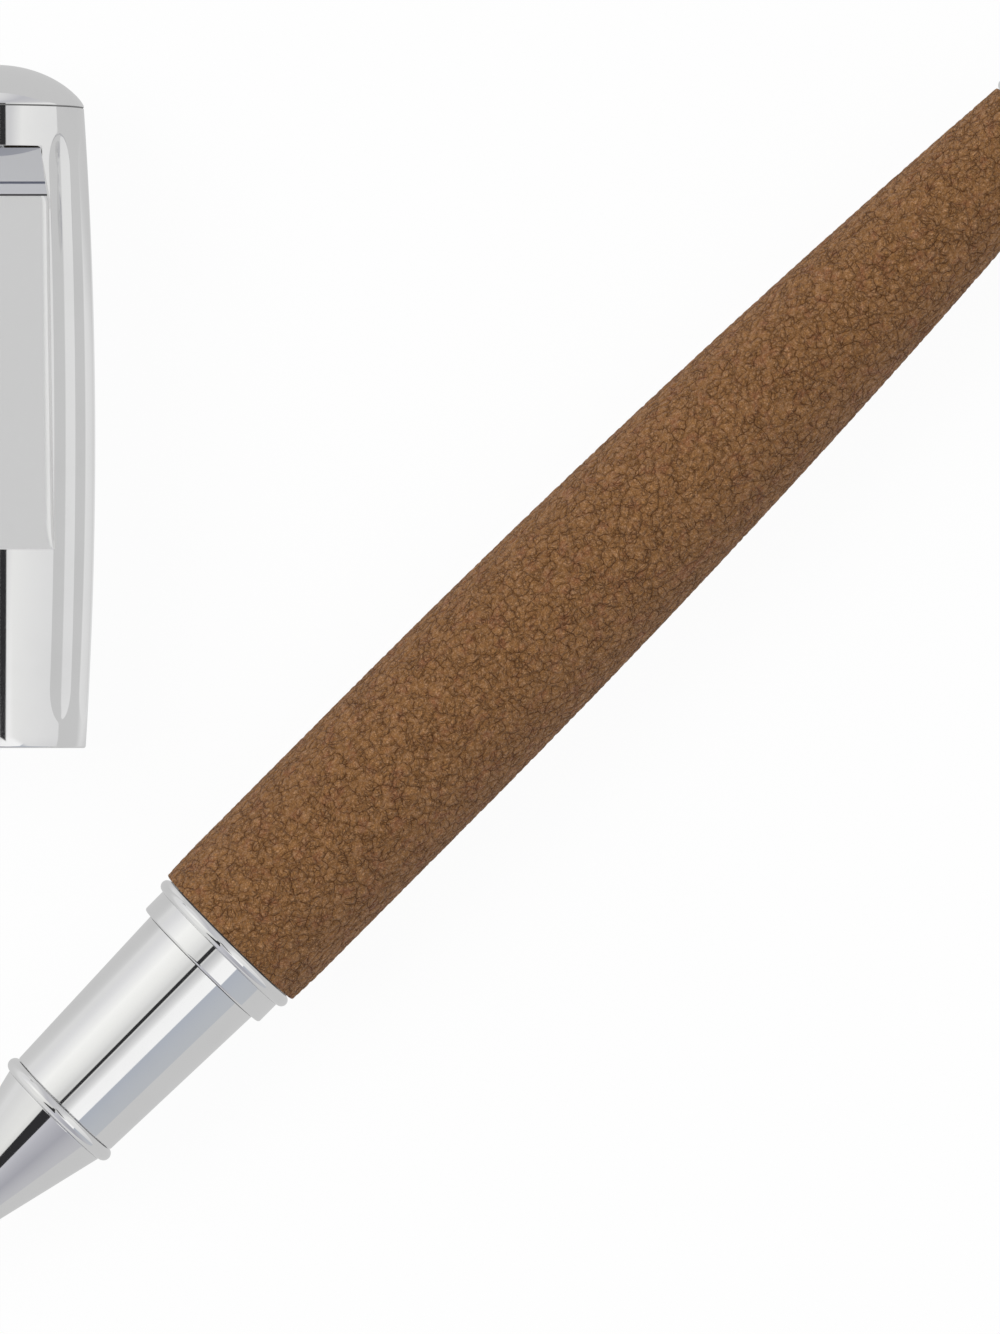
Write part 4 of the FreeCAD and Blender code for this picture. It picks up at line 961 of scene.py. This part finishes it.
class PEN_OT_clip(bpy.types.Operator):
    """Builds the wide clip with its bevelled panel"""
    bl_idname = "pen.clip"
    bl_label = "Clip"

    def execute(self, context):
        sizes, cap = context.scene.pen_clip, context.scene.pen_cap
        slope_end = sizes.root - sizes.slope_length
        panel_start = slope_end - sizes.ridge_length
        panel_top = sizes.ridge_top - sizes.step
        end = panel_start - sizes.panel_length
        end_top = panel_top - sizes.panel_drop
        pad = belly_radius(cap, end) + sizes.pad_gap
        root_bottom = sizes.root - sizes.root_length
        rate = (sizes.slope_top - sizes.root_shoulder) / sizes.slope_length
        groove = sizes.groove
        bm = bmesh.new()
        self.extrude_side(bm, [
            (sizes.root, sizes.root_shoulder),
            (slope_end + groove, sizes.slope_top - groove * rate), (slope_end, sizes.slope_top - 1.8 * groove),
            (slope_end - groove, sizes.slope_top), (panel_start + 1.5 * groove, sizes.ridge_top),
            (panel_start, panel_top), (end, end_top), (end, pad), (end + sizes.pad_length, pad),
            (end + 2 * sizes.pad_length, end_top - sizes.thickness),
            (root_bottom, panel_top - sizes.thickness), (root_bottom, sizes.root_shoulder)], sizes.half_width)
        self.taper_root(bm, sizes)
        self.bevel_panel(bm, sizes, panel_start, panel_top, end, end_top)
        soften(bm, sizes.edge_round, least=math.radians(30), segments=2,
               choose=lambda edge: (edge.calc_length() > 2 * groove
                                    and min(vert.co.x for vert in edge.verts) < panel_start))
        self.fade_bevel(bm, sizes, panel_start, panel_top, end, end_top)
        overlap = sizes.root_shoulder + 0.02 * MM
        self.extrude_side(bm, [(root_bottom, sizes.root_depth), (sizes.root + sizes.root_reach, sizes.root_depth),
                               (sizes.root, overlap), (root_bottom, overlap)], sizes.root_half_width)
        self.hollow_root(bm, sizes, rate)
        self.add_tongue(bm, sizes)
        for vert in bm.verts:
            vert.co.y *= 1 + sizes.flare * max(0.0, panel_start - vert.co.x) / (panel_start - end)
        bmesh.ops.recalc_face_normals(bm, faces=bm.faces[:])
        self.choose_finishes(bm, sizes, slope_end, panel_start, panel_top)
        bm.transform(cap_place())
        add_piece("clip_bevelled", bm, "clip",
                  finishes("Clip chrome", "Seam and groove shade", "Clip root shade", "Clip slope shade"), ["clip"], sharp=30.0)
        return {"FINISHED"}

    @staticmethod
    def choose_finishes(bm, sizes, slope_end, panel_start, panel_top):
        """Paints shade on the clip: the step gets the dark seam shade, the root's end face and the groove between
        slope and ridge get the root shade, and the slope and ridge get a darker copy of the clip's chrome.
        """
        groove = sizes.groove
        for face in bm.faces:
            middle, upward = face.calc_center_median(), abs(face.normal.y) < 0.5
            in_groove = abs(middle.x - slope_end) < groove and middle.z > sizes.slope_top - 2 * groove
            in_step = panel_start < middle.x < panel_start + 1.5 * groove and middle.z > panel_top
            on_end = face.normal.x > 0.85 and middle.x > sizes.root - sizes.root_hollow
            # Painted shade on the step, the root's end, the groove and the slope.
            if in_step and upward:
                face.material_index = SEAM_SHADE
            elif on_end or in_groove:
                face.material_index = CLIP_ROOT_SHADE
            elif middle.x > panel_start and middle.z > sizes.root_shoulder and upward:
                face.material_index = CLIP_SLOPE_SHADE

    @staticmethod
    def extrude_side(bm, points, half_width):
        """Extrudes a side view across the clip."""
        side = bm.faces.new([bm.verts.new((along, -half_width, high)) for along, high in points])
        grown = bmesh.ops.extrude_face_region(bm, geom=[side])["geom"]
        moved = [item for item in grown if isinstance(item, bmesh.types.BMVert)]
        bmesh.ops.translate(bm, verts=moved, vec=(0, 2 * half_width, 0))
        bmesh.ops.recalc_face_normals(bm, faces=bm.faces[:])

    @staticmethod
    def taper_root(bm, sizes):
        """Narrows the clip towards its root."""
        run, gain = sizes.taper, sizes.half_width - sizes.root_half_width
        for side in (1, -1):
            cut = bmesh.ops.bisect_plane(bm, geom=bm.verts[:] + bm.edges[:] + bm.faces[:], dist=ON_PLANE,
                                         plane_co=(sizes.root - run, side * sizes.half_width, 0.0),
                                         plane_no=(gain, side * run, 0.0), clear_outer=True)
            rim = [item for item in cut["geom_cut"] if isinstance(item, bmesh.types.BMEdge)]
            bmesh.ops.holes_fill(bm, edges=rim)
        bmesh.ops.recalc_face_normals(bm, faces=bm.faces[:])

    @staticmethod
    def bevel_panel(bm, sizes, start, top, end, end_top):
        """Bevels the panel's long upper edges."""
        long_edges = []
        for edge in bm.edges:
            ends = [vert.co for vert in edge.verts]
            heights = [top + (end_top - top) * (start - point.x) / (start - end) for point in ends]
            on_panel = all(abs(point.z - height) < 0.02 * MM for point, height in zip(ends, heights))
            if on_panel and abs(ends[0].x - ends[1].x) > 0.1 * MM and abs(ends[0].y) > 0.8 * sizes.half_width:
                long_edges.append(edge)
        bmesh.ops.bevel(bm, geom=long_edges, offset=sizes.bevel, offset_type="OFFSET", segments=2,
                        profile=0.5, affect="EDGES", material=-1)

    @staticmethod
    def fade_bevel(bm, sizes, start, top, end, end_top):
        """Lets the bevels run out in an arc to the corners of the free end."""
        reach = sizes.bevel_fade
        for step in (0.03, 0.1, 0.2, 0.35, 0.55, 0.8, 1.0):
            bmesh.ops.bisect_plane(bm, geom=bm.verts[:] + bm.edges[:] + bm.faces[:], dist=ON_PLANE,
                                   plane_co=(end + step * reach, 0, 0), plane_no=(1, 0, 0))
        for vert in bm.verts:
            if vert.co.x > end + reach:
                continue
            level = top + (end_top - top) * (start - vert.co.x) / (start - end)
            past = 1 - (vert.co.x - end) / reach
            keep = math.sqrt(max(0.0, 1 - past * past))
            inset, drop = sizes.half_width - abs(vert.co.y), level - vert.co.z
            if inset < sizes.bevel + sizes.edge_round and drop < sizes.bevel + sizes.edge_round:
                vert.co.y = math.copysign(sizes.half_width - inset * keep, vert.co.y)
                vert.co.z = level - drop * keep
        bmesh.ops.remove_doubles(bm, verts=bm.verts[:], dist=2e-6)

    @staticmethod
    def hollow_root(bm, sizes, rate):
        """Draws the foot of the slope back in an arc, over an end face that leans back with it."""
        half, near_root = sizes.root_half_width, sizes.root - 0.3 * MM

        def foot():
            return [face for face in bm.faces if max(vert.co.x for vert in face.verts) > near_root]

        near = foot()
        for step in range(1, 16):
            edges = {edge for face in near for edge in face.edges}
            verts = {vert for edge in edges for vert in edge.verts}
            bmesh.ops.bisect_plane(bm, geom=[*verts, *edges, *near], dist=ON_PLANE,
                                   plane_co=(0, half * (step / 8 - 1), 0), plane_no=(0, 1, 0))
            near = foot()
        for vert in bm.verts:
            if vert.co.x > near_root and vert.co.z > sizes.root_depth + 0.1 * MM:
                back = sizes.root_hollow * max(0.0, 1 - (vert.co.y / half) ** 2)
                vert.co.x -= back
                vert.co.z += back * rate

    @classmethod
    def add_tongue(cls, bm, sizes):
        """Adds the tongue inside the cap, with the heel that the clip's spring pushes on."""
        front = sizes.pin_place - sizes.eye_radius
        under = sizes.pin_height - sizes.eye_radius
        neck = sizes.root - sizes.root_hollow - 0.1 * MM
        top = sizes.root_depth + 0.5 * MM
        cls.extrude_side(bm, [(front, top), (front, under + 0.4 * MM), (front + 0.15 * MM, under + 0.12 * MM),
                              (front + 0.5 * MM, under), (neck - 0.4 * MM, under), (neck, under + 0.4 * MM),
                              (neck, top)], sizes.tongue_half_width)


class PEN_OT_refill_tip(bpy.types.Operator):
    """Builds the turned writing tip of the refill"""
    bl_idname = "pen.refill_tip"
    bl_label = "Refill Tip"

    def execute(self, context):
        front, rear = span("refill_tip")
        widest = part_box("refill_tip")[1].z
        shank_end = front + 2.9 * MM
        bm = turned([
            (front, 0.3 * MM), (front + 0.08 * MM, 0.37 * MM), (front + 0.45 * MM, 0.42 * MM),
            (front + 0.5 * MM, 0.47 * MM), (front + 1.5 * MM, widest), (shank_end, widest),
            (shank_end, 0.6 * MM), (rear, 0.6 * MM), (rear, 0.17 * MM), (front + 0.9 * MM, 0.17 * MM),
            (front + 0.55 * MM, 0.3 * MM)], 96)
        soften(bm, 0.02 * MM, least=math.radians(15))
        add_piece("refill_tip_turned", bm, "refill", finishes("Turned tip steel"), ["refill_tip"])
        return {"FINISHED"}


class PEN_OT_finishes(bpy.types.Operator):
    """Makes the finishes and gives the plain inner parts theirs"""
    bl_idname = "pen.finishes"
    bl_label = "Finishes"

    def execute(self, context):
        finish = context.scene.pen_finish
        polished_material("Polished chrome", finish.chrome, finish.chrome_roughness)
        polished_material("Cap chrome", finish.chrome, finish.cap_roughness)
        polished_material("Clip chrome", finish.clip_chrome, 0.34, haze=0.04, metallic=0.76)
        # Painted shade: a darker copy of the clip's chrome for its slope and ridge.
        polished_material("Clip slope shade", finish.clip_slope_shade, 0.3, haze=0.04, metallic=0.76)
        # Painted shade at the clip's root and in its groove.
        polished_material("Clip root shade", finish.clip_root_shade, 0.3)
        # Painted shade for seams, grooves and the clip's step.
        polished_material("Seam and groove shade", finish.groove, 0.35)
        brass = turned_metal_material("Turned brass", finish.brass, 0.22, 0.12, 0.002)
        # Painted shade on the brass block under the clip.
        brass_in_painted_shade = turned_metal_material("Brass in painted shade", finish.brass_in_painted_shade, 0.4, 0.12, 0.002)
        spring = turned_metal_material("Spring wire", finish.spring_steel, 0.25, 0.05, 0.001)
        tube = turned_metal_material("Drawn refill tube", finish.refill_metal, 0.3, 0.3, 0.0008)
        turned_metal_material("Turned tip steel", finish.tip_steel, 0.2, 0.06, 0.0015)
        carbide = turned_metal_material("Ground carbide", finish.carbide, 0.18, 0.04, 0.0004)
        plastic = moulded_material("Refill plastic", finish.refill_plastic, 0.34)
        liner = moulded_material("Liner plastic", finish.liner, 0.42, 0.006)
        rubber = moulded_material("Seal rubber", finish.rubber, 0.72, 0.01)
        feed = fibre_material("Feed fibre", finish.ink, 0.9)
        reservoir = fibre_material("Reservoir fibre", finish.ink, 0.6)
        plain = {
            "barrel_tube": brass, "thread_bush": brass, "tail_plug": brass, "clip_block": brass_in_painted_shade,
            "crown_stud": brass, "clip_pin": spring, "refill_spring": spring, "clip_spring": spring,
            "refill_tube": tube, "refill_holder": plastic, "refill_plug": plastic, "writing_ball": carbide,
            "ink_feed": feed, "ink_reservoir": reservoir, "cap_liner": liner, "tip_seal": rubber,
        }
        for name, material in plain.items():
            part = frame["nodes"][name]
            for slot in part.material_slots:
                slot.material = material
            part.visible_glossy = False
        return {"FINISHED"}


# --- Stage --------------------------------------------------------------------------------------------

# Walls of the studio that the chrome shows, from one side of the pen (0) over the top to the other (1).
MIDDLE_WALL = (
    (0.0, (0.50, 0.52, 0.55)), (0.172, (0.45, 0.48, 0.54)), (0.178, (1.0, 1.0, 1.0)), (0.34, (0.98, 0.98, 0.98)),
    (0.40, (0.74, 0.74, 0.74)), (0.47, (0.57, 0.57, 0.58)), (0.495, (0.55, 0.55, 0.56)),
    (0.503, (0.68, 0.68, 0.67)), (0.56, (0.69, 0.69, 0.68)), (0.62, (0.66, 0.66, 0.65)),
    (0.67, (0.77, 0.77, 0.76)), (0.77, (0.90, 0.90, 0.88)), (0.9, (1.0, 1.0, 0.98)), (0.97, (0.86, 0.86, 0.86)),
    (1.0, (0.74, 0.74, 0.75)),
)
NOSE_WALL = (
    (0.0, (0.56, 0.56, 0.58)), (0.2, (0.40, 0.40, 0.44)), (0.4, (0.50, 0.50, 0.54)), (0.52, (0.58, 0.58, 0.62)),
    (0.62, (0.7, 0.7, 0.69)), (0.75, (0.84, 0.84, 0.82)), (0.9, (0.80, 0.80, 0.79)), (1.0, (0.7, 0.7, 0.7)),
)
SIDE_WALL = (
    (0.0, (0.68, 0.68, 0.69)), (0.15, (0.78, 0.78, 0.78)), (0.35, (0.86, 0.86, 0.85)), (0.43, (0.66, 0.66, 0.67)),
    (0.5, (0.62, 0.62, 0.63)), (0.7, (0.54, 0.54, 0.57)), (0.84, (0.76, 0.76, 0.76)), (1.0, (0.72, 0.72, 0.73)),
)
BAR_TONE = (0.03, 0.03, 0.032)


class PEN_OT_stage(bpy.types.Operator):
    """Lays the paper, lights the object and sets the camera"""
    bl_idname = "pen.stage"
    bl_label = "Stage"

    def execute(self, context):
        stage = context.scene.pen_stage
        self.lay_floor(context, stage)
        self.light_world(context, stage)
        self.add_key_lamp(context)
        self.set_camera(context, stage)
        context.scene.view_settings.view_transform = "Standard"
        return {"FINISHED"}

    @classmethod
    def lay_floor(cls, context, stage):
        """Lays the paper: white to the camera but for a trace of shadow, and a shade of grey in the chrome."""
        bm = bmesh.new()
        bmesh.ops.create_grid(bm, x_segments=1, y_segments=1, size=stage.floor_size / 2)
        bmesh.ops.translate(bm, verts=bm.verts[:], vec=(0, 0, CAD_BOX[0].z))
        mesh = bpy.data.meshes.new("Paper")
        bm.to_mesh(mesh)
        bm.free()
        material, tree, place = new_material("Pale paper")
        tooth = tree.noise(place, 1400.0, 3.0)
        paper = tree.add("ShaderNodeBsdfDiffuse", None, {
            "Color": tree.blend(tooth * 0.3, stage.floor, [level * 0.97 for level in stage.floor])})
        path = tree.add("ShaderNodeLightPath").output.node
        seen = Socket(tree, path.outputs["Is Camera Ray"])
        mirrored = Socket(tree, path.outputs["Is Glossy Ray"])
        mirrored = mirrored.highest(Socket(tree, path.outputs["Is Transmission Ray"]))
        strength = 1 - mirrored * (1 - cls.mirrored_level(tree, place))
        white = tree.add("ShaderNodeEmission", None, {"Color": (1, 1, 1), "Strength": strength})
        lit = tree.add("ShaderNodeMixShader", None, {0: seen * (1 - stage.shadow) + mirrored, 1: paper, 2: white})
        tree.add("ShaderNodeOutputMaterial", None, {"Surface": lit})
        mesh.materials.append(material)
        floor = bpy.data.objects.new("Paper", mesh)
        context.scene.collection.objects.link(floor)

    @staticmethod
    def mirrored_level(tree, place):
        """How bright the paper is in the chrome: lighter far behind the cap and in a patch under it."""
        x, y, _ = tree.split(place)
        under_cap = (tree.between(abs(y - x - 9 * MM), 4 * MM, 14 * MM, 0.15, 0.0)
                     * tree.between(x, 4 * MM, 10 * MM) * tree.between(x, 30 * MM, 38 * MM, 1.0, 0.0))
        return tree.between(y - x, 18 * MM, 75 * MM, 0.6, 0.75) + under_cap

    @classmethod
    def light_world(cls, context, stage):
        """A studio drawn on the sky: walls and boxes of light with two dark bars. The camera sees plain white."""
        world = bpy.data.worlds.get("Studio") or bpy.data.worlds.new("Studio")
        context.scene.world = world
        world.use_nodes = True
        tree = Tree(world.node_tree)
        x, y, z = tree.split(tree.add("ShaderNodeTexCoord", output="Generated"))
        across = y * 0.5 + 0.5
        middle, nose, side = (tree.add("ShaderNodeValToRGB", {"stops": wall}, {"Fac": across})
                              for wall in (MIDDLE_WALL, NOSE_WALL, SIDE_WALL))
        sky = tree.blend(tree.between(x, 0.1, 0.24), middle, side)
        sky = tree.blend(tree.between(x, -0.34, -0.26, 1.0, 0.0), sky, nose)
        sky = tree.blend(cls.dark_bars(tree, x, y) * tree.between(z, 0.0, 0.1), sky, BAR_TONE)
        path = tree.add("ShaderNodeLightPath").output.node
        seen = Socket(tree, path.outputs["Is Camera Ray"])
        shown = tree.blend(seen, sky, (1.0, 1.0, 1.0))
        glow = tree.add("ShaderNodeBackground", None, {"Color": shown, "Strength": stage.light})
        tree.add("ShaderNodeOutputWorld", None, {"Surface": glow})

    @staticmethod
    def dark_bars(tree, x, y):
        """Where the bars are that chrome shows as dark lines: one over the pen and one over the cap."""
        forward = tree.between(x, -0.6, -0.16, 0.14, 0.0)
        from_bar = abs(y - 0.085 - forward * 0.73) - forward
        pen_bar = (tree.between(from_bar, 0.04, 0.056, 1.0, 0.0) * tree.between(x, 0.05, 0.09, 1.0, 0.0)
                   * tree.between(x, -0.74, -0.68))
        cap_x, cap_y = 0.709, 0.705  # the way that the cap points
        along, aside = x * cap_x + y * cap_y, x * cap_y - y * cap_x
        cap_bar = (tree.between(abs(aside - 0.195), 0.06, 0.08, 1.0, 0.0)
                   * tree.between(along, 0.24, 0.28, 1.0, 0.0) * tree.between(x, -0.01, 0.02))
        return pen_bar.highest(cap_bar)

    @staticmethod
    def add_key_lamp(context):
        """Adds the one lamp, up behind on the left, which the chrome doesn't show."""
        key = bpy.data.lights.new("Soft key", "AREA")
        key.shape, key.size, key.size_y, key.energy = "RECTANGLE", 0.9, 0.7, 7.0
        lamp = bpy.data.objects.new("Soft key", key)
        lamp.location = (-0.45, 0.75, 1.15)
        lamp.rotation_euler = (-Vector(lamp.location)).to_track_quat("-Z", "Y").to_euler()
        lamp.visible_glossy = False
        context.scene.collection.objects.link(lamp)

    @staticmethod
    def set_camera(context, stage):
        """Stands the camera up and turns it so that the pen crosses the view."""
        data = bpy.data.cameras.new("Camera")
        data.lens = stage.lens
        data.sensor_width = 36.0
        data.sensor_fit = "AUTO"
        data.clip_start, data.clip_end = 0.01, 100.0
        camera = bpy.data.objects.new("Camera", data)
        place, target = Vector(stage.camera_place), Vector(stage.camera_target)
        back = (place - target).normalized()
        right = Vector((math.cos(stage.camera_roll), -math.sin(stage.camera_roll), 0.0))
        up = back.cross(right).normalized()
        right = up.cross(back)
        camera.matrix_world = Matrix.Translation(place) @ Matrix((right, up, back)).transposed().to_4x4()
        context.scene.collection.objects.link(camera)
        context.scene.camera = camera


# --- Panel and registration ---------------------------------------------------------------------------

PIECES = (PEN_OT_finishes, PEN_OT_leather_sleeve, PEN_OT_collar, PEN_OT_tail, PEN_OT_section, PEN_OT_thread,
          PEN_OT_cap_shell, PEN_OT_cap_crown, PEN_OT_clip, PEN_OT_refill_tip, PEN_OT_stage)
SETTINGS = {
    "pen_barrel": PenBarrelSettings,
    "pen_section": PenSectionSettings,
    "pen_cap": PenCapSettings,
    "pen_clip": PenClipSettings,
    "pen_finish": PenFinishSettings,
    "pen_stage": PenStageSettings,
}


class PEN_PT_panel(bpy.types.Panel):
    """Sizes, colours and the pieces to build"""
    bl_idname = "PEN_PT_panel"
    bl_label = "Rollerball Pen"
    bl_space_type = "VIEW_3D"
    bl_region_type = "UI"
    bl_category = "Pen"

    def draw(self, context):
        layout = self.layout
        for name, group in SETTINGS.items():
            box = layout.box()
            box.label(text=group.__doc__)
            for setting in group.__annotations__:
                box.prop(getattr(context.scene, name), setting)
        for piece in PIECES:
            layout.operator(piece.bl_idname)


CLASSES = (*SETTINGS.values(), *PIECES, PEN_PT_panel)


def register():
    for cls in CLASSES:
        bpy.utils.register_class(cls)
    for name, group in SETTINGS.items():
        setattr(bpy.types.Scene, name, PointerProperty(type=group))


def unregister():
    for name in SETTINGS:
        delattr(bpy.types.Scene, name)
    for cls in reversed(CLASSES):
        bpy.utils.unregister_class(cls)


def main():
    register()
    for piece in PIECES:
        group, name = piece.bl_idname.split(".")
        getattr(getattr(bpy.ops, group), name)()


if __name__ == "__main__":
    main()
